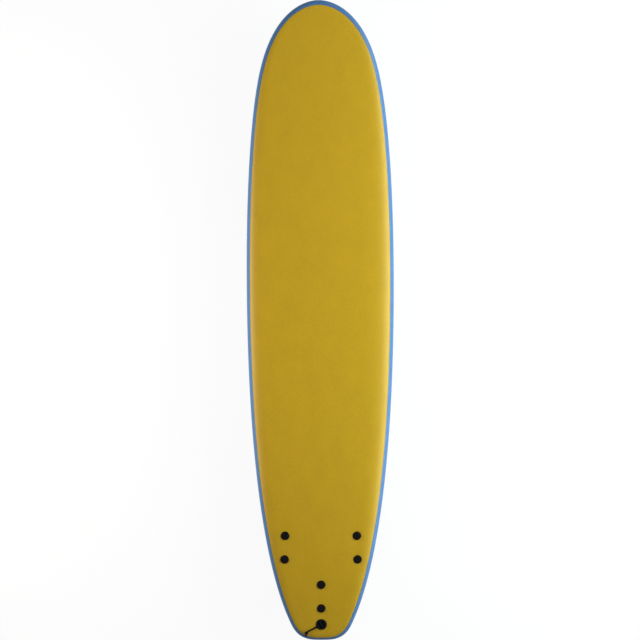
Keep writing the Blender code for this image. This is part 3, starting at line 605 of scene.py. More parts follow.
def bight_route():
    """Half a turn round the pin, from beside the upper strand to beside the lower one."""
    route = [beside_pin(LEAD, PIN_HEIGHT + WRAP, 1)]
    for step in range(BIGHT_STEPS + 1):
        turn = math.pi * step / BIGHT_STEPS
        height = PIN_HEIGHT + WRAP * math.cos(turn)
        route.append(beside_pin(-WRAP * math.sin(turn), height, math.cos(turn)))
    return [*route, beside_pin(LEAD, PIN_HEIGHT - WRAP, -1)]


UPPER_ROUTE = strand_route(OVER_PIN, 1)
LOWER_ROUTE = strand_route(UNDER_PIN, -1)
print("the strands' routes have", len(UPPER_ROUTE), "and", len(LOWER_ROUTE), "points")


# %% [markdown]
# ## The knot
#
# The two strands end in a wrapped knot: one of them takes three turns round the other, tucks
# under its own last turn, and both short ends hang over the edge of the board. The turns are
# a coil that is wider than it is high, because the knot lies flat on the deck.

# %% Route of the knot
KNOT_PLACE = Vector((-0.0579, -0.0325, 0.0039))
KNOT_TURN = math.radians(-26.0)
KNOT_TURNS = 3
KNOT_STEPS = 14 * KNOT_TURNS
KNOT_PITCH = 0.0035
KNOT_HALF_WIDTH = 0.0049
KNOT_HALF_HEIGHT = 0.0030
KNOT_POINT_SPACING = 0.0010
TUCK = Vector((0.0010, -0.0070, 0.0004))
CORE_HALF = Vector((0, 0.0040, 0))
TAIL_ENDS = ((-0.0628, -0.0448, -0.0013), (-0.0574, -0.0448, -0.0011))
KNOT_FRAME = Matrix.Translation(KNOT_PLACE) @ Matrix.Rotation(KNOT_TURN, 4, "Z")


def knot_routes(upper_end, lower_end):
    """Routes of the strand that wraps and of the one that it wraps, in the plug's frame."""
    into = KNOT_FRAME.inverted()
    start, straight = into @ upper_end, into @ lower_end
    first_tail, second_tail = (into @ Vector(end) for end in TAIL_ENDS)
    coil = []
    for step in range(KNOT_STEPS + 1):
        share = step / KNOT_STEPS
        turn = math.tau * KNOT_TURNS * share
        along = KNOT_PITCH * KNOT_TURNS * (0.5 - share)
        across, up = KNOT_HALF_WIDTH * math.cos(turn), KNOT_HALF_HEIGHT * math.sin(turn)
        coil.append(Vector((across, along, up)))
    wrapping = [start, *coil, TUCK, first_tail]
    core = [straight, CORE_HALF, -CORE_HALF, second_tail]
    return [
        [KNOT_FRAME @ place for place in smooth_route(route, KNOT_POINT_SPACING)]
        for route in (wrapping, core)
    ]


KNOT_ROUTES = knot_routes(UPPER_ROUTE[-1], LOWER_ROUTE[-1])
print("the knot's routes have", " and ".join(str(len(route)) for route in KNOT_ROUTES), "points")


# %% [markdown]
# ## Braid
#
# A braid is two sets of yarns that wind round in opposite directions and cross over each
# other. On a tube, one set of ridges runs as `sin(round + along)` and the other as
# `sin(round - along)`, and the higher of the two is what shows. The tree sweeps a circle
# along the route, keeps the distance along it and the angle round it as attributes, and
# pushes each point out by the height of its yarn.

# %% Tree of the braid
def keep(nodes, geometry, name, value):
    """Stores a number on every point, and reads it again for the nodes that follow."""
    inputs = {"Geometry": geometry, "Name": name, "Value": value}
    stored = nodes.geo("StoreNamedAttribute", inputs)
    return stored, nodes.geo("InputNamedAttribute", {"Name": name}, "Attribute")


def braid_tree():
    inputs = {
        "Radius": CORD_DIAMETER / 2,
        "Yarn height": 0.00022,
        "Mean height": 0.75,
        "Yarns": 4.0,
        "Pitch": 0.0052,
        "Point spacing": 0.00035,
        "Sides": 32,
        "Material": bpy.types.Material,
    }
    nodes, given = new_tree("braided cord", inputs)
    line = nodes.geo("MeshToCurve", {0: given["Geometry"]})
    spacing = {"Curve": line, "Length": given["Point spacing"]}
    line = nodes.geo("ResampleCurve", spacing, mode="LENGTH")
    parameter = nodes.add("GeometryNodeSplineParameter")
    line, along = keep(nodes, line, "along", parameter.outputs["Length"])
    sizes = {"Resolution": given["Sides"], "Radius": given["Radius"]}
    circle = nodes.geo("CurvePrimitiveCircle", sizes)
    angle = Field(nodes, parameter.outputs["Factor"]) * math.tau
    circle, turned = keep(nodes, circle, "round", angle)
    swept = {"Curve": line, "Profile Curve": circle, "Fill Caps": True}
    tube = nodes.geo("CurveToMesh", swept)
    ridges = turned * given["Yarns"]
    wound = along * (given["Yarns"] / given["Pitch"]) * math.tau
    one_way, other_way = (ridges + wound).math("SINE"), (ridges - wound).math("SINE")
    yarn = one_way.math("MAXIMUM", other_way) * 0.5 + 0.5
    # The string's finish also reads this height, as painted shade in the hollows and a painted
    # highlight on the tops.
    tube, height = keep(nodes, tube, "yarn", yarn)
    normal = nodes.geo("InputNormal", output="Normal")
    out = {0: normal, "Scale": (height - given["Mean height"]) * given["Yarn height"]}
    push = nodes.get("ShaderNodeVectorMath", 0, out, operation="SCALE")
    tube = nodes.geo("SetPosition", {"Geometry": tube, "Offset": push})
    return end_tree(nodes, tube, given["Material"])


BRAID = braid_tree()
print("braid tree with", len(BRAID.nodes), "nodes")


def grow_cord(name, routes, node_name):
    """A braided tube along each route, given in the plug's frame."""
    points, edges = [], []
    for route in routes:
        edges += [(len(points) + i, len(points) + i + 1) for i in range(len(route) - 1)]
        points += [PLUG_FRAME @ place for place in route]
    cord = grow(name, BRAID, new_mesh(name, points, edges), Material=STRING)
    settle(cord, crease=180.0)
    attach(cord, "root")
    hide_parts(node_name)
    return cord


# %% Make the string
bight = grow_cord("leash_cord_bight", [bight_route()], "leash_string_bight")
upper_strand = grow_cord("leash_cord_upper", [UPPER_ROUTE], "leash_string_strand_upper")
lower_strand = grow_cord("leash_cord_lower", [LOWER_ROUTE], "leash_string_strand_lower")
knot = grow_cord("leash_cord_knot", KNOT_ROUTES, "leash_string_knot")
for strand, route, length, others in (
    (upper_strand, UPPER_ROUTE, 0.060, [bight, knot]),
    (lower_strand, LOWER_ROUTE, 0.066, []),
):
    path = [PLUG_FRAME @ place for place in route]

# %% [markdown]
# ## Hull
#
# A surfboard's shape follows a few rules, and the tree states them as formulas. The plan
# outline is four Bezier arcs on each side. The bottom rises to both ends by a power of the
# distance from the middle, which is the rocker. The thickness falls off in the same way,
# which is the foil. Across the board, the deck and the bottom roll over to the rail's
# outermost line, the apex.
#
# Ribs run in from points of the outline, straight across at the middle and fanned out at
# the ends, where they would otherwise crowd. Along a rib, a girth from 0 to 4 leads over
# the deck's flat, its roll, the bottom's roll and the bottom's flat. Each skin is a strip
# between two girths, so the deck, the rails and the slick come from one tree.

# %% Sizes of the hull
HALF_LENGTH = 1.220
HALF_WIDTH = 0.284
WIDE_POINT_AHEAD = 0.181
NOSE_SHOULDER = Vector((0.222, 0.980, 0))
TAIL_SHOULDER = Vector((0.114, -1.165, 0))
NOSE_ANGLE = math.radians(15.2)
TAIL_ANGLE = math.radians(26.6)
NOSE_TIP_PULL, NOSE_SHOULDER_FRONT_PULL, NOSE_SHOULDER_REAR_PULL = 0.040, 0.224, 0.192
WIDE_POINT_FRONT_PULL, WIDE_POINT_REAR_PULL = 0.256, 0.819
TAIL_SHOULDER_FRONT_PULL, TAIL_SHOULDER_REAR_PULL, TAIL_MIDDLE_PULL = 0.176, 0.064, 0.037
HULL_SIZES = {
    "Half length": HALF_LENGTH,
    "Nose rocker": 0.122,
    "Tail rocker": 0.045,
    "Nose rocker power": 2.8,
    "Tail rocker power": 2.2,
    "Thickness": 0.083,
    "Nose thickness": 0.030,
    "Tail thickness": 0.032,
    "Nose foil power": 2.0,
    "Tail foil power": 2.6,
    "Apex share": 0.42,
    "Deck roll": 1.45,
    "Deck roll power": 4.0,
    "Bottom roll": 0.54,
    "Bottom roll power": 2.5,
    "Deck edge in": 0.0147,
    "Nose band gain": 0.0058,
    "Tail band gain": 0.0032,
    "Band gain power": 8.0,
    "Tail end band loss": 0.0069,
    "Tail end band power": 60.0,
    "Slick edge in": 0.0120,
    "Fan": 0.200,
    "Fan power": 4.0,
    "Fan spread": 0.15,
    "Lift": 0.0918391,
}


def outline_arcs():
    """Four Bezier arcs of the right half, each by its two ends and the handles between."""
    nose_tip, tail_middle = Vector((0, HALF_LENGTH, 0)), Vector((0, -HALF_LENGTH, 0))
    wide_point = Vector((HALF_WIDTH, WIDE_POINT_AHEAD, 0))
    side, nose = Vector((1, 0, 0)), Vector((0, 1, 0))
    nose_line = Vector((-math.sin(NOSE_ANGLE), math.cos(NOSE_ANGLE), 0))
    tail_line = Vector((math.sin(TAIL_ANGLE), math.cos(TAIL_ANGLE), 0))
    handles = (
        nose_tip + NOSE_TIP_PULL * side,
        NOSE_SHOULDER + NOSE_SHOULDER_FRONT_PULL * nose_line,
        NOSE_SHOULDER - NOSE_SHOULDER_REAR_PULL * nose_line,
        wide_point + WIDE_POINT_FRONT_PULL * nose,
        wide_point - WIDE_POINT_REAR_PULL * nose,
        TAIL_SHOULDER + TAIL_SHOULDER_FRONT_PULL * tail_line,
        TAIL_SHOULDER - TAIL_SHOULDER_REAR_PULL * tail_line,
        tail_middle + TAIL_MIDDLE_PULL * side,
    )
    ends = (nose_tip, NOSE_SHOULDER, wide_point, TAIL_SHOULDER, tail_middle)
    return list(zip(ends, handles[::2], handles[1::2], ends[1:]))


print("plan outline:", 2 * HALF_LENGTH, "x", 2 * HALF_WIDTH, "m in", len(outline_arcs()), "arcs")


# %% Outline and grid of the hull
def outline_at(nodes, share):
    """The point at a share of the outline's length, from the nose tip to the tail."""
    joined = nodes.add("GeometryNodeJoinGeometry")
    labels = ("Start", "Start Handle", "End Handle", "End")
    for arc in reversed(outline_arcs()):
        inputs = {"Resolution": 200, **dict(zip(labels, arc))}
        curve = nodes.geo("CurvePrimitiveBezierSegment", inputs, mode="POSITION")
        nodes.feed(joined.inputs[0], curve)
    inputs = {"Curves": joined.outputs[0], "Factor": share}
    return nodes.geo("SampleCurve", inputs, "Position", mode="FACTOR", use_all_curves=True)


def chosen(test, if_true, if_false):
    return test * (if_true - if_false) + if_false


def unit_grid(nodes, columns, rows):
    """A flat grid from -0.5 to 0.5 both ways, for a formula to bend."""
    sizes = {"Size X": 1.0, "Size Y": 1.0, "Vertices X": columns, "Vertices Y": rows}
    return nodes.geo("MeshGrid", sizes)


# %% Rules of the hull
class HullRules:
    """The hull's formulas as nodes, with the tree's inputs as their sizes."""

    def __init__(self, nodes, given):
        self.nodes, self.given = nodes, given

    def share(self, y):
        """How far a place along the board is from its middle, from 0 to 1."""
        return (y.math("ABSOLUTE") / self.given["Half length"]).math("MINIMUM", 1.0)

    def by_end(self, y, name):
        """A size that differs ahead of the middle and behind it."""
        ahead = y.math("GREATER_THAN", 0.0)
        return chosen(ahead, self.given[f"Nose {name}"], self.given[f"Tail {name}"])

    def rocker(self, y):
        return self.by_end(y, "rocker") * self.share(y) ** self.by_end(y, "rocker power")

    def thickness(self, y):
        tip = self.by_end(y, "thickness")
        falling_off = 1.0 - self.share(y) ** self.by_end(y, "foil power")
        return tip + (self.given["Thickness"] - tip) * falling_off

    def band_width(self, y):
        """How far in from the outline the deck ends and the rail's band begins."""
        gain = self.by_end(y, "band gain") * self.share(y) ** self.given["Band gain power"]
        near_end = self.share(y) ** self.given["Tail end band power"]
        loss = self.given["Tail end band loss"] * near_end
        return self.given["Deck edge in"] + gain - y.math("LESS_THAN", 0.0) * loss

    def girth(self, distance, roll):
        """How far round the roll a distance in from the outline is, from 0 to 1."""
        return (1.0 - distance / roll).math("ARCSINE") / (math.pi / 2)

    def by_layer(self, *choices):
        """One of three values: for the deck, for the rail or for the slick."""
        node = self.nodes.add("GeometryNodeIndexSwitch", data_type="FLOAT")
        node.index_switch_items.new()
        for index, value in enumerate((self.given["Layer"], *choices)):
            self.nodes.feed(node.inputs[index], value)
        return Field(self.nodes, node.outputs[0])

    def dented(self, skin):
        """The skin with a shallow dent round each bolt."""
        bolts = self.nodes.geo("ObjectInfo", {"Object": self.given["Bolt places"]}, "Geometry")
        near = self.nodes.geo("Proximity", {0: bolts}, "Distance", target_element="POINTS")
        ranges = {
            "Value": near,
            "From Min": self.given["Dent edge"],
            "From Max": self.given["Dent reach"],
            "To Min": self.given["Dent"] * -1.0,
            "To Max": 0.0,
        }
        kind = "ShaderNodeMapRange"
        dent = self.nodes.get(kind, 0, ranges, interpolation_type="SMOOTHSTEP")
        moved = {"Geometry": skin, "Offset": self.nodes.vector(0.0, 0.0, dent)}
        return self.nodes.geo("SetPosition", moved)


# %% Tree of the hull
def hull_tree():
    inputs = {
        **HULL_SIZES,
        "Seam": 0.0,
        "Ribs": 380,
        "Columns": 40,
        "Layer": 0,
        "Bolt places": bpy.types.Object,
        "Dent": 0.0,
        "Dent edge": 0.0150,
        "Dent reach": 0.034,
        "Material": bpy.types.Material,
    }
    nodes, given = new_tree("hull layer", inputs)
    rules = HullRules(nodes, given)

    # The rib's two ends: the point of the outline, and the foot on the centre line.
    across, down, _ = nodes.parts(nodes.geo("InputPosition"))
    x, y, _ = nodes.parts(outline_at(nodes, across + 0.5))
    fan = given["Fan"] + given["Fan spread"] * x
    foot = y - y.math("SIGN") * fan * rules.share(y) ** given["Fan power"]
    span = (x * x + (y - foot) * (y - foot)).math("SQRT")

    # The girths between which this layer lies.
    deck_roll = given["Deck roll"] * rules.thickness(y)
    bottom_roll = given["Bottom roll"] * rules.thickness(y)
    edge_in = rules.band_width(y)
    deck_end = 1.0 + rules.girth(edge_in, deck_roll)
    rail_start = 1.0 + rules.girth(edge_in - GAP, deck_roll)
    rail_end = 3.0 - rules.girth(given["Slick edge in"] - GAP, bottom_roll)
    slick_start = 3.0 - rules.girth(given["Slick edge in"], bottom_roll)
    start = rules.by_layer(0.0, rail_start, slick_start)
    end = rules.by_layer(deck_end, rail_end, 4.0)

    # The point at its girth: first its distance in from the outline, then its height.
    girth = start + (end - start) * (down + 0.5)
    under = girth.math("GREATER_THAN", 2.0)
    level = chosen(under, 4.0 - girth, girth)
    roll = chosen(under, bottom_roll, deck_roll)
    round_turn = (level - 1.0).math("MAXIMUM", 0.0) * (math.pi / 2)
    rolled_in = roll * (1.0 - round_turn.math("SINE"))
    on_flat = level.math("LESS_THAN", 1.0)
    distance = chosen(on_flat, span + (roll - span) * level, rolled_in)
    along = distance / span
    here_y = y + (foot - y) * along
    power = chosen(under, given["Bottom roll power"], given["Deck roll power"])
    height = (1.0 - (1.0 - distance / roll).math("MAXIMUM", 0.0) ** power).math("SQRT")
    reach = chosen(under, given["Apex share"] * -1.0, 1.0 - given["Apex share"])
    above = rules.thickness(here_y) * (given["Apex share"] + reach * height)
    z = rules.rocker(here_y) + above + given["Lift"]
    here_x = (x * (1.0 - along)).math("MAXIMUM", given["Seam"] / 2.0)
    grid = unit_grid(nodes, given["Ribs"], given["Columns"])
    shaped = {"Geometry": grid, "Position": nodes.vector(here_x, here_y, z)}
    skin = nodes.geo("SetPosition", shaped)
    return end_tree(nodes, rules.dented(skin), given["Material"])


HULL = hull_tree()
print("hull tree with", len(HULL.nodes), "nodes")

# %% [markdown]
# ## Where the hardware stands
#
# Each washer of the frame is a turned piece, so the average of its corners lies on its axis,
# and the axis is the direction in which its corners spread least. The bolts, the washers, the
# pockets in the deck and the shallow dents that the bolts press into the foam all take their
# places from these measures.

# %% Measure the bolts
ENDS = ("front", "rear")
PLACES = [f"{fin}_{end}" for fin in ("left", "right", "centre") for end in ENDS]


def corners_of(node_name):
    corners = np.array([vertex.co[:] for vertex in frame["nodes"][node_name].data.vertices])
    return np.unique(np.round(corners, 6), axis=0)


def bolt_frame(label):
    """The frame of a bolt: on its axis, at the underside of its washer."""
    washer = corners_of(f"fin_washer_{label}")
    middle = washer.mean(axis=0)
    axis = np.linalg.svd(washer - middle)[2][2]
    axis = axis * np.sign(axis[2])
    low = ((washer - middle) @ axis).min()
    return standing_frame(Vector(middle + low * axis), Vector(axis))


def reach_in(node_name, local):
    """Lowest and highest height of a node, measured in a local frame."""
    inward = np.array(local.inverted())
    heights = corners_of(node_name) @ inward[2, :3] + inward[2, 3]
    return float(heights.min()), float(heights.max())


BOLT_FRAMES = {label: bolt_frame(label) for label in PLACES}
SHAFT_ENDS = {label: reach_in(f"fin_bolt_{label}", BOLT_FRAMES[label])[0] for label in PLACES}
for label, local in BOLT_FRAMES.items():
    print(label, [round(c, 4) for c in local.translation], "shaft", round(SHAFT_ENDS[label], 4))


def places_mesh(name, frames):
    """A point for each frame, with the frame's axis as an attribute."""
    mesh = new_mesh(name, [local.translation for local in frames])
    axes = mesh.attributes.new("axis", "FLOAT_VECTOR", "POINT")
    for item, local in zip(axes.data, frames):
        item.vector = local.to_3x3() @ Vector((0, 0, 1))
    return mesh


# %% [markdown]
# ## Skins
#
# The deck and the slick are grown as right halves and mirrored. Each rail skin is grown with
# its ends half a seam away from the centre plane, and the left one is the right one seen in
# a mirror. Solidify gives each sheet its thickness inwards, and a small bevel rounds the
# edges, so that a fine line shows where yellow meets blue. Then the bores and pockets are cut.

# %% Grow the skins
SKIN = 0.005
SKIN_ROUND = 0.0006
SLICK_THICKNESS = 0.001
SLICK_ROUND = 0.0002
DENT_DEPTH = 0.0008


def modify(piece, kind, **settings):
    modifier = piece.modifiers.new(kind.lower(), kind)
    for name, value in settings.items():
        setattr(modifier, name, value)


def grow_sheet(name, thickness, rounding, mirrored=True, **inputs):
    """A layer of the hull with its thickness and round edges, mirrored if asked."""
    sheet = grow(name, HULL, **inputs)
    if mirrored:
        modify(sheet, "MIRROR", merge_threshold=0.000001)
    modify(sheet, "SOLIDIFY", thickness=thickness, offset=-1.0)
    corner = math.radians(50)
    modify(sheet, "BEVEL", width=rounding, segments=2, limit_method="ANGLE", angle_limit=corner)
    return settle(sheet)


bolt_places = new_piece("bolt places", places_mesh("bolt places", list(BOLT_FRAMES.values())))
dents = {"Bolt_places": bolt_places, "Dent": DENT_DEPTH}
deck = grow_sheet("deck_sheet", SKIN, SKIN_ROUND, Material=DECK_FOAM, Columns=44, **dents)
bpy.data.objects.remove(bolt_places)
slick_counts = {"Layer": 2, "Ribs": 300, "Columns": 34}
slick = grow_sheet("slick_sheet", SLICK_THICKNESS, SLICK_ROUND, Material=SLICK, **slick_counts)
rail_sizes = {"Layer": 1, "Columns": 22, "Seam": GAP}
right_rail = grow_sheet(
    "rail_band_right", SKIN, SKIN_ROUND, mirrored=False, Material=RAIL_FOAM, **rail_sizes
)
left_mesh = right_rail.data.copy()
left_mesh.name = "rail_band_left"
left_mesh.transform(Matrix.Diagonal((-1, 1, 1, 1)))
left_mesh.flip_normals()
left_rail = new_piece("rail_band_left", left_mesh)

# %% [markdown]
# ## Pockets and bores
#
# A cutter is a plain cylinder that stands in the frame of its bolt or of the plug. All the
# cutters of one kind are joined into one mesh, and one exact Boolean takes them out of a
# sheet at once.

# %% Cut the skins
POST_RADIUS = 0.0080
POCKET_RADIUS = 0.0166
FLANGE_RADIUS = 0.02075
FLANGE_LOW = -0.0009
CUP_RADIUS = 0.0150
BASE_RADIUS = 0.0170
BASE_THICKNESS = 0.0030
CUT_REACH = 0.020
BELOW_ALL = -0.10
ABOVE_ALL = 0.05


def add_cylinder(bm, local, radius, low, high, sides=72):
    """Adds a closed cylinder on a frame's Z axis to a bmesh."""
    made = bmesh.ops.create_cone(
        bm, cap_ends=True, segments=sides, radius1=radius, radius2=radius, depth=high - low
    )
    half_step = Matrix.Rotation(math.pi / sides, 4, "Z")
    matrix = local @ Matrix.Translation((0, 0, (low + high) / 2)) @ half_step
    bmesh.ops.transform(bm, matrix=matrix, verts=made["verts"])


def combine(piece, operation, bm, **settings):
    """Cuts a bmesh out of a piece or joins it to the piece, and frees the bmesh."""
    mesh = bpy.data.meshes.new("tool")
    bm.to_mesh(mesh)
    bm.free()
    tool = new_piece("tool", mesh, *piece.data.materials)
    modify(piece, "BOOLEAN", operation=operation, solver="EXACT", object=tool, **settings)
    settle(piece)
    bpy.data.objects.remove(tool)


def cut(piece, cylinders):
    """Takes cylinders, each given as frame, radius, low and high, out of a piece."""
    bm = bmesh.new()
    for cylinder in cylinders:
        add_cylinder(bm, *cylinder)
    combine(piece, "DIFFERENCE", bm)


CUP_LOWEST = reach_in("leash_plug_cup", PLUG_FRAME)[0]
BASE_LOW, BASE_TOP = reach_in("leash_plug_base", PLUG_FRAME)
BASE_HIGH = BASE_LOW + BASE_THICKNESS
POST_BORE = POST_RADIUS + GAP
frames = BOLT_FRAMES.values()
bores = [(local, POST_BORE, -CUT_REACH, CUT_REACH / 2) for local in frames]
pockets = [(local, POCKET_RADIUS, -GAP, CUT_REACH) for local in frames]
posts = [(local, POST_BORE, BELOW_ALL, SHAFT_ENDS[label]) for label, local in BOLT_FRAMES.items()]
cut(deck, [*bores, (PLUG_FRAME, CUP_RADIUS + GAP, -CUT_REACH, CUT_REACH / 2)])
cut(deck, [*pockets, (PLUG_FRAME, FLANGE_RADIUS + GAP, FLANGE_LOW - GAP, CUT_REACH)])
cut(slick, [*posts, (PLUG_FRAME, BASE_RADIUS + GAP, BELOW_ALL, BASE_HIGH + GAP)])

# %% [markdown]
# ## Turned hardware
#
# Bolts, washers and the leash plug are round pieces, each of which a lathe could make from
# one profile. The tree takes the profile as an object, a row of corners with radius in X and
# height in Z. It bends a grid of those corners round the axis, merges the seam and the poles,
# and stands a copy on every point it is given, square to the deck. Each bolt is turned by a
# random angle of its own, as bolts end up when they are screwed tight, and a Boolean cuts
# the coin slot.

# %% Tree of the turned hardware
def turned_tree():
    inputs = {
        "Profile": bpy.types.Object,
        "Corners": 10,
        "Steps": 64,
        "Slot": (0.0, 0.0, 0.0),
        "Slot height": 0.0,
        "Slotted": False,
        "Free turn": 0.0,
        "Seed": 4,
        "Material": bpy.types.Material,
    }
    nodes, given = new_tree("turned hardware", inputs)
    place = nodes.geo("InputPosition")
    across, down, _ = nodes.parts(place)
    profile = nodes.geo("ObjectInfo", {"Object": given["Profile"]}, "Geometry")
    corner = ((down + 0.5) * (given["Corners"] - 1.0)).math("ROUND")
    sample = {"Geometry": profile, "Value": place, "Index": corner}
    radius, _, height = nodes.parts(nodes.geo("SampleIndex", sample, data_type="FLOAT_VECTOR"))
    angle = (across + 0.5) * math.tau
    turned = nodes.vector(radius * angle.math("COSINE"), radius * angle.math("SINE"), height)
    grid = unit_grid(nodes, given["Steps"] + 1.0, given["Corners"])
    body = nodes.geo("SetPosition", {"Geometry": grid, "Position": turned})
    body = nodes.geo("MergeByDistance", {"Geometry": body, "Distance": 0.000005})
    slot = nodes.geo("MeshCube", {"Size": given["Slot"]})
    slot_place = nodes.vector(0.0, 0.0, given["Slot height"])
    slot = nodes.geo("Transform", {"Geometry": slot, "Translation": slot_place})
    both = {"Mesh 1": body, "Mesh 2": slot}
    slotted = nodes.geo("MeshBoolean", both, operation="DIFFERENCE", solver="EXACT")
    choice = {"Switch": given["Slotted"], "False": body, "True": slotted}
    body = nodes.geo("Switch", choice, input_type="GEOMETRY")
    name = {"Name": "axis"}
    axis = nodes.geo("InputNamedAttribute", name, "Attribute", data_type="FLOAT_VECTOR")
    upright = nodes.get("FunctionNodeAlignRotationToVector", 0, {"Vector": axis}, axis="Z")
    limits = {"Min": 0.0, "Seed": given["Seed"]}
    turn = nodes.add("FunctionNodeRandomValue", limits, data_type="FLOAT")
    nodes.feed(turn.inputs[3], given["Free turn"])
    free_turn = nodes.vector(0.0, 0.0, turn.outputs[1])
    spin = nodes.get("FunctionNodeEulerToRotation", 0, {0: free_turn})
    turns = {0: upright, 1: spin}
    rotation = nodes.get("FunctionNodeRotateRotation", 0, turns, rotation_space="LOCAL")
    standing = {"Points": given["Geometry"], "Instance": body, "Rotation": rotation}
    return end_tree(nodes, nodes.geo("InstanceOnPoints", standing), given["Material"])


TURNED = turned_tree()
print("turning tree with", len(TURNED.nodes), "nodes")


# %% Turned pieces and round corners
def face_outwards(mesh):
    bm = bmesh.new()
    bm.from_mesh(mesh)
    bmesh.ops.recalc_face_normals(bm, faces=bm.faces)
    bm.to_mesh(mesh)
    bm.free()


def turn_pieces(name, profile, frames, finish, **inputs):
    """Turned copies of a profile on every frame, as one mesh."""
    shape = new_piece(f"{name} profile", new_mesh(name, [(r, 0.0, z) for r, z in profile]))
    inputs = {"Profile": shape, "Corners": len(profile), "Material": finish, **inputs}
    piece = settle(grow(name, TURNED, places_mesh(name, frames), **inputs))
    bpy.data.objects.remove(shape)
    face_outwards(piece.data)
    return piece


ROUNDING_STEPS = 4


def rounded(corners, closed=False):
    """A profile with round corners, each given as radius, height and size of its rounding."""
    points = []
    places = [Vector(corner[:2]) for corner in corners]
    for index, (at, (_, _, size)) in enumerate(zip(places, corners)):
        if size == 0.0:
            points.append(tuple(at))
            continue
        start = at + size * (places[index - 1] - at).normalized()
        end = at + size * (places[(index + 1) % len(places)] - at).normalized()
        for step in range(ROUNDING_STEPS + 1):
            share = step / ROUNDING_STEPS
            rest = 1 - share
            points.append(tuple(rest**2 * start + 2 * share * rest * at + share**2 * end))
    return points + points[:1] if closed else points


print("each round corner of a profile takes", ROUNDING_STEPS, "steps")


# %% [markdown]
# ## Bolts and washers
#
# A fin bolt is a large flat screw that a coin can turn, with a slightly domed head. It sits
# in a dished washer, whose rim stands round the head and presses the foam down. Heights are
# counted from the underside of the washer.

# %% Make the bolts and washers
WASHER_RADIUS = 0.0163
WASHER_TAPER = 0.0006
WASHER_RIM_TOP = 0.0032
DISH = 0.0012
HEAD_RADIUS = 0.01275
HEAD_LOW = 0.0015
HEAD_TOP = 0.0047
HEAD_DOME = 0.0002
SHAFT_RADIUS = 0.0040
COIN_SLOT = (0.0028, 0.017, 0.0038)
FIRST_SEED = 3

washer_profile = rounded(
    [
        (HEAD_RADIUS + GAP, WASHER_RIM_TOP, 0.0006),
        (WASHER_RADIUS - WASHER_TAPER, WASHER_RIM_TOP, 0.0009),
        (WASHER_RADIUS, 0.0, 0.0003),
        (SHAFT_RADIUS + GAP, 0.0, 0.0002),
        (SHAFT_RADIUS + GAP, DISH, 0.0002),
        (HEAD_RADIUS + GAP, DISH, 0.0002),
    ],
    closed=True,
)
washers = turn_pieces("fin_washer_set", washer_profile, list(BOLT_FRAMES.values()), HARDWARE)
bolts = {}
for number, (label, local) in enumerate(BOLT_FRAMES.items()):
    bolt_profile = rounded(
        [
            (0.0, HEAD_TOP + HEAD_DOME, 0),
            (HEAD_RADIUS * 0.6, HEAD_TOP + HEAD_DOME / 2, 0.002),
            (HEAD_RADIUS, HEAD_TOP - HEAD_DOME, 0.0009),
            (HEAD_RADIUS, HEAD_LOW, 0.0002),
            (SHAFT_RADIUS, HEAD_LOW, 0.0002),
            (SHAFT_RADIUS, SHAFT_ENDS[label], 0.0008),
            (0.0, SHAFT_ENDS[label], 0),
        ]
    )
    slot = {"Slotted": True, "Slot": COIN_SLOT, "Slot_height": HEAD_TOP}
    turn = {"Free_turn": math.tau, "Seed": FIRST_SEED + number}
    name = f"coin_bolt_{label}"
    bolts[label] = turn_pieces(name, bolt_profile, [local], BOLT_NYLON, **slot, **turn)

# %% [markdown]
# ## Leash plug
#
# The plug is a moulded cup that is let into the deck, with a rolled lip and a shallow groove
# round its flange. Its stem runs down through the board into a base that is screwed on from
# below, which has two holes for a pin spanner. The steel pin lies across the cup.

# %% Make the leash plug
FLANGE_TOP = 0.0021
CUP_BORE_RADIUS = 0.0125
CUP_FLOOR = FLANGE_TOP - 0.0130
CUP_LOW = CUP_FLOOR - 0.0025
STEM_RADIUS = 0.0050
GROOVE_IN, GROOVE_OUT, GROOVE_DEPTH = 0.0162, 0.0176, 0.0004
PIN_REACH = 0.0143
TUBE_RADIUS = 0.0080
SPANNER_OUT, SPANNER_RADIUS, SPANNER_DEPTH = 0.0115, 0.0016, 0.0018
CUT_MARGIN = 0.001

cup_profile = rounded(
    [
        (0.0, CUP_FLOOR, 0),
        (CUP_BORE_RADIUS, CUP_FLOOR, 0.0016),
        (CUP_BORE_RADIUS, FLANGE_TOP, 0.0014),
        (GROOVE_IN, FLANGE_TOP, 0.0002),
        (GROOVE_IN + GROOVE_DEPTH, FLANGE_TOP - GROOVE_DEPTH, 0.0001),
        (GROOVE_OUT - GROOVE_DEPTH, FLANGE_TOP - GROOVE_DEPTH, 0.0001),
        (GROOVE_OUT, FLANGE_TOP, 0.0002),
        (FLANGE_RADIUS, FLANGE_TOP, 0.0012),
        (FLANGE_RADIUS, FLANGE_LOW, 0.0002),
        (CUP_RADIUS, FLANGE_LOW, 0.0002),
        (CUP_RADIUS, CUP_LOW, 0.0004),
        (STEM_RADIUS, CUP_LOW, 0.0004),
        (STEM_RADIUS, CUP_LOWEST, 0.0004),
        (0.0, CUP_LOWEST, 0),
    ]
)
cup = turn_pieces("leash_plug_body", cup_profile, [PLUG_FRAME], HARDWARE, Steps=96)
PIN_FRAME = (
    PLUG_FRAME
    @ Matrix.Rotation(PIN_TURN, 4, "Z")
    @ Matrix.Translation((0, 0, PIN_HEIGHT))
    @ Matrix.Rotation(math.pi / 2, 4, "X")
)
cut(cup, [(PIN_FRAME, PIN_RADIUS + GAP, -PIN_REACH - GAP, PIN_REACH + GAP)])
pin_profile = rounded(
    [
        (0.0, PIN_REACH, 0),
        (PIN_RADIUS, PIN_REACH, 0.0004),
        (PIN_RADIUS, -PIN_REACH, 0.0004),
        (0.0, -PIN_REACH, 0),
    ]
)
pin = turn_pieces("leash_plug_rod", pin_profile, [PIN_FRAME], STEEL, Steps=48)
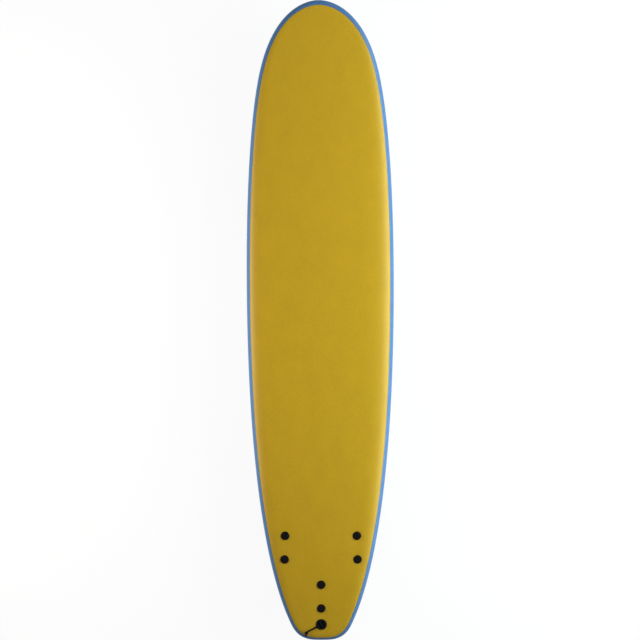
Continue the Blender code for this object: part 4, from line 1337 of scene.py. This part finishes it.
base_profile = rounded(
    [
        (0.0, BASE_HIGH, 0),
        (STEM_RADIUS + GAP, BASE_HIGH, 0),
        (STEM_RADIUS + GAP, BASE_TOP, 0.0003),
        (TUBE_RADIUS, BASE_TOP, 0.0003),
        (TUBE_RADIUS, BASE_HIGH, 0.0003),
        (BASE_RADIUS, BASE_HIGH, 0.0003),
        (BASE_RADIUS, BASE_LOW, 0.0009),
        (0.0, BASE_LOW, 0),
    ]
)
base = turn_pieces("leash_plug_nut", base_profile, [PLUG_FRAME], HARDWARE, Steps=96)
spanner_holes = []
for side in (-1, 1):
    hole_frame = PLUG_FRAME @ Matrix.Translation((side * SPANNER_OUT, 0, 0))
    hole = (hole_frame, SPANNER_RADIUS, BASE_LOW - CUT_MARGIN, BASE_LOW + SPANNER_DEPTH)
    spanner_holes.append(hole)
cut(base, spanner_holes)

# %% [markdown]
# ## Fins
#
# The fins of a soft board are one soft moulding each: a raked blade that grows out of a foot
# plate with round ends, with a soft fillet between them, and two posts that take the bolts.
# The blade is lofted here in Python, because each level of it has its own chord, its own
# place in the rake and its own foil, which one loop says more clearly than a tree. Towards
# the tip, each level loses a little of its rear, which rounds the tip.

# %% Sizes of a fin
FIN_DEPTH = 0.114
FIN_BASE = 0.104
FIN_TIP_BACK = 0.066
FIN_TIP_CHORD = 0.012
FIN_TIP_ROUND_FROM = 0.90
FIN_TIP_ROUND_LOSS = 0.90
FIN_THICKNESS = 0.009
FIN_EDGE = 0.0024
FIN_SIDES = 56
FOOT_LENGTH = 0.120
FOOT_WIDTH = 0.024
FOOT_THICKNESS = 0.003
FOOT_ROUND = 0.0008
FOOT_SIDES = 64
FILLET_DEPTH = 0.006
FILLET_WIDTH = 0.0030
FILLET_POWER = 2.2
EDGE_STEEPNESS = 3.2
FRONT_CURVE = np.array(
    [
        (FIN_BASE / 2, 0.0),
        (FIN_BASE / 2 - 0.46 * FIN_TIP_BACK, 0.62 * FIN_DEPTH),
        (0.12 * FIN_TIP_BACK, 0.97 * FIN_DEPTH),
        (FIN_TIP_CHORD - FIN_TIP_BACK, FIN_DEPTH),
    ]
)
REAR_CURVE = np.array(
    [
        (-FIN_BASE / 2, 0.0),
        (0.26 * FIN_BASE - FIN_BASE / 2, 0.36 * FIN_DEPTH),
        (-0.74 * FIN_TIP_BACK, 0.72 * FIN_DEPTH),
        (-FIN_TIP_BACK, 0.955 * FIN_DEPTH),
    ]
)
print("fin:", FIN_DEPTH, "m deep on a base of", FIN_BASE, "m")


# %% Sections of a fin
def foil_half_thickness(share, thickness):
    """Half of a foil's thickness at a share of its chord, full ahead and thin at the rear."""
    # The numbers are those of the classic four-digit foil formula, with a closed rear edge.
    fullness = (
        2.969 * math.sqrt(share)
        - 1.260 * share
        - 3.516 * share**2
        + 2.843 * share**3
        - 1.036 * share**4
    )
    return FIN_EDGE / 2 + (thickness - FIN_EDGE) / 2 * max(fullness, 0.0)


def blade_section(level):
    """The closed foil section at a share of the blade's depth, as points across and along."""
    front, rear = bezier(*FRONT_CURVE, level), bezier(*REAR_CURVE, level)
    thickness = FIN_THICKNESS + (FIN_EDGE - FIN_THICKNESS) * level**2
    tip = max(0.0, (level - FIN_TIP_ROUND_FROM) / (1 - FIN_TIP_ROUND_FROM))
    kept = 1 - FIN_TIP_ROUND_LOSS * (1 - math.sqrt(1 - tip**2))
    section = []
    for step in range(FIN_SIDES):
        turn = math.tau * step / FIN_SIDES
        share = 0.5 - 0.5 * math.cos(turn)
        round_edge = min(1.0, math.sin(math.pi * share) * EDGE_STEEPNESS) ** 0.5
        along, depth = front + (rear - front) * kept * share
        below_foot = max(0.0, depth - FOOT_THICKNESS / 2)
        flare = FILLET_WIDTH * max(0.0, 1 - below_foot / FILLET_DEPTH) ** FILLET_POWER
        half = (foil_half_thickness(share, thickness) + flare) * round_edge
        section.append((math.copysign(half, math.sin(turn)), along, depth))
    return section


def foot_ring(height, inset):
    """One ring of the foot plate, a slot shape."""
    radius = FOOT_WIDTH / 2 - inset
    ring = []
    for step in range(FOOT_SIDES):
        turn = math.tau * (step + 0.5) / FOOT_SIDES
        shift = math.copysign((FOOT_LENGTH - FOOT_WIDTH) / 2, math.sin(turn))
        ring.append((radius * math.cos(turn), radius * math.sin(turn) + shift, height))
    return ring


print("fin foil", FIN_THICKNESS, "m thick,", len(blade_section(0.5)), "points at each level")


# %% Frame and loft of a fin
FIN_CANTS = {"left": math.radians(-4.0), "right": math.radians(4.0), "centre": 0.0}
FILLET_LEVELS = [0.0, 0.008, 0.018, 0.030, 0.045]
BLADE_LEVELS = np.linspace(0.07, FIN_TIP_ROUND_FROM, 20)
TIP_TURNS = np.linspace(0, math.pi / 2, 9)[1:]
TIP_LEVELS = FIN_TIP_ROUND_FROM + (1 - FIN_TIP_ROUND_FROM) * np.sin(TIP_TURNS)
FIN_LEVELS = [*FILLET_LEVELS, *BLADE_LEVELS, *TIP_LEVELS]
POST_SINK = 0.0015
THREAD_BELOW_BOLT = 0.004


def fin_frame(name):
    """The frame of a fin's foot: between its bolts on the bottom, +Y along the bolts."""
    front, rear = (BOLT_FRAMES[f"{name}_{end}"] for end in ENDS)
    up = front.to_3x3() @ Vector((0, 0, 1))
    ahead = (front.translation - rear.translation).normalized()
    ahead = (ahead - ahead.dot(up) * up).normalized()
    middle = (front.translation + rear.translation) / 2
    return Matrix.Translation(middle) @ Matrix((ahead.cross(up), ahead, up)).transposed().to_4x4()


def lofted(rings):
    """A closed mesh through rings of equal length, with its ends filled."""
    count = len(rings[0])
    points = [point for ring in rings for point in ring]
    faces = []
    for first in range(0, len(points) - count, count):
        for i in range(count):
            after = (i + 1) % count
            faces.append((first + i, first + after, first + count + after, first + count + i))
    faces += [tuple(range(count)), tuple(range(len(points) - count, len(points)))]
    mesh = new_mesh("loft", points, [], faces)
    face_outwards(mesh)
    return mesh


print("each blade is lofted through", len(FIN_LEVELS), "levels")


# %% Make the fins
def make_fin(name):
    """Foot, blade and posts of one fin, joined by exact Booleans."""
    local = fin_frame(name)
    node_low, node_high = reach_in(f"fin_{name}", local)
    root = node_low + FIN_DEPTH
    foot_top = root + FOOT_THICKNESS / 2
    foot_low = foot_top - FOOT_THICKNESS
    lean = math.tan(FIN_CANTS[name])
    blade = []
    for level in FIN_LEVELS:
        section = blade_section(level)
        leaning = [(half + depth * lean, along, root - depth) for half, along, depth in section]
        blade.append(leaning)
    fin = new_piece(f"soft_fin_{name}", lofted(blade), FIN_PLASTIC)
    foot = [
        foot_ring(foot_top, 0.0),
        foot_ring(foot_low + FOOT_ROUND, 0.0),
        foot_ring(foot_low + 0.3 * FOOT_ROUND, 0.3 * FOOT_ROUND),
        foot_ring(foot_low, FOOT_ROUND),
    ]
    bm = bmesh.new()
    bm.from_mesh(lofted(foot))
    threads = []
    for end in ENDS:
        label = f"{name}_{end}"
        along = (local.inverted() @ BOLT_FRAMES[label].translation).y
        post = Matrix.Translation((0, along, 0))
        add_cylinder(bm, post, POST_RADIUS, foot_top - POST_SINK, node_high, sides=48)
        thread_low = SHAFT_ENDS[label] - THREAD_BELOW_BOLT
        threads.append((BOLT_FRAMES[label], SHAFT_RADIUS + GAP, thread_low, ABOVE_ALL))
    combine(fin, "UNION", bm, use_self=True)
    fin.data.transform(local)
    cut(fin, threads)
    return fin


fins = {name: make_fin(name) for name in ("left", "right", "centre")}

# %% [markdown]
# ## Join each piece to the board
#
# Every new piece moves with the board, which is one rigid body, and stands for one or more
# solids of the engineering model. Those solids stay for the physics and are no longer shown.

# %% Bodies, nodes and slots
STAND_FOR = [
    (deck, "deck_foam", ["deck_skin"]),
    (left_rail, "rail_foam", ["rail_skin_left"]),
    (right_rail, "rail_foam", ["rail_skin_right"]),
    (slick, "bottom_slick", ["slick_bottom"]),
    (washers, "hardware_black", [f"fin_washer_{label}" for label in PLACES]),
    (cup, "hardware_black", ["leash_plug_cup"]),
    (base, "hardware_black", ["leash_plug_base"]),
    (pin, "pin_steel", ["leash_plug_pin"]),
    *[(bolt, "hardware_black", [f"fin_bolt_{label}"]) for label, bolt in bolts.items()],
    *[(fin, "fin_black", [f"fin_{name}"]) for name, fin in fins.items()],
]
for piece, slot_name, node_names in STAND_FOR:
    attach(piece, "root")
    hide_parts(*node_names)
print(len(STAND_FOR), "pieces stand for", sum(len(names) for _, _, names in STAND_FOR), "solids")

# %% [markdown]
# ## Floor, lamps and background
#
# The floor is a plain pale sheet, just under the fins, and so wide that a view from the side
# doesn't show its edge either. For the camera it is brightened to white through Is Camera
# Ray, so that the light on the board stays at a plain level, and a part of the true light on
# it is kept, because that part holds the board's soft shadow.
#
# Five soft lamps light the board: a large one high to the right, a long cool one low beside
# the right edge, one beside the tail, a warm one low to the left, and a weak one beyond the
# nose. The world fills the rest with weak white light.

# %% Stage and light
FLOOR_HALF = 60.0
FLOOR_HEIGHT = -0.001
FLOOR_WHITENED = 0.92
WORLD_LIGHT = 0.18
LIT_PLACE = Vector((0.0, 0.1, 0.15))
WHITE, COOL, WARM = (1.0, 1.0, 1.0), (0.70, 1.0, 0.97), (1.0, 0.99, 0.92)
# Each lamp: its place, its size, its watts and its colour.
LAMPS = {
    "right lamp": ((2.4, 0.9, 1.7), (1.6, 2.4), 65, WHITE),
    "low right lamp": ((1.10, 0.10, 0.60), (0.4, 2.6), 17, COOL),
    "tail lamp": ((2.2, -0.9, 0.8), (1.6, 1.6), 24, WHITE),
    "low left lamp": ((-1.7, 0.03, 0.6), (0.6, 1.8), 32, WARM),
    "nose lamp": ((0.5, 3.0, 2.4), (2.4, 1.6), 10, WHITE),
}


def seen_directly(nodes):
    """1 for what the camera sees, also in a mirror or through glass."""
    path = nodes.add("ShaderNodeLightPath")
    kinds = ("Camera", "Glossy", "Transmission")
    camera_ray, glossy, transmission = (
        Field(nodes, path.outputs[f"Is {kind} Ray"]) for kind in kinds
    )
    return camera_ray.math("MAXIMUM", glossy).math("MAXIMUM", transmission)


def floor_finish():
    finish = Finish("pale floor", Roughness=0.9, Specular_IOR_Level=0.1)
    grey = finish.tones(finish.grain(0.4), (0.3, (0.80, 0.80, 0.80)), (0.7, (0.82, 0.82, 0.82)))
    finish.feed(finish.shader.inputs["Base Color"], grey)
    white = finish.get("ShaderNodeEmission", 0, {"Color": (1, 1, 1, 1), "Strength": 1.0})
    inputs = {0: seen_directly(finish) * FLOOR_WHITENED, 1: finish.shader.outputs[0], 2: white}
    mix = finish.get("ShaderNodeMixShader", 0, inputs)
    finish.feed(finish.tree.nodes["Material Output"].inputs["Surface"], mix)
    return finish.material


floor_corners = [
    (FLOOR_HALF * x, FLOOR_HALF * y, FLOOR_HEIGHT) for x, y in ((-1, -1), (1, -1), (1, 1), (-1, 1))
]
floor = new_piece("floor", new_mesh("floor", floor_corners, [], [(0, 1, 2, 3)]), floor_finish())

world = bpy.data.worlds.new("studio")
bpy.context.scene.world = world
world.use_nodes = True
world_nodes = Nodes(world.node_tree)
background = world.node_tree.nodes["Background"]
background.inputs["Color"].default_value = (1, 1, 1, 1)
strength = seen_directly(world_nodes) * (1.0 - WORLD_LIGHT) + WORLD_LIGHT
world_nodes.feed(background.inputs["Strength"], strength)

for name, (place, size, watts, colour) in LAMPS.items():
    lamp = bpy.data.objects.new(name, bpy.data.lights.new(name, "AREA"))
    bpy.context.scene.collection.objects.link(lamp)
    lamp.data.shape = "RECTANGLE"
    lamp.data.size, lamp.data.size_y = size
    lamp.data.energy = watts
    lamp.data.color = colour
    lamp.visible_camera = False
    lamp.matrix_world = aimed(Vector(place), LIT_PLACE)
bpy.context.scene.view_settings.view_transform = "Standard"
print("lamps:", ", ".join(LAMPS))
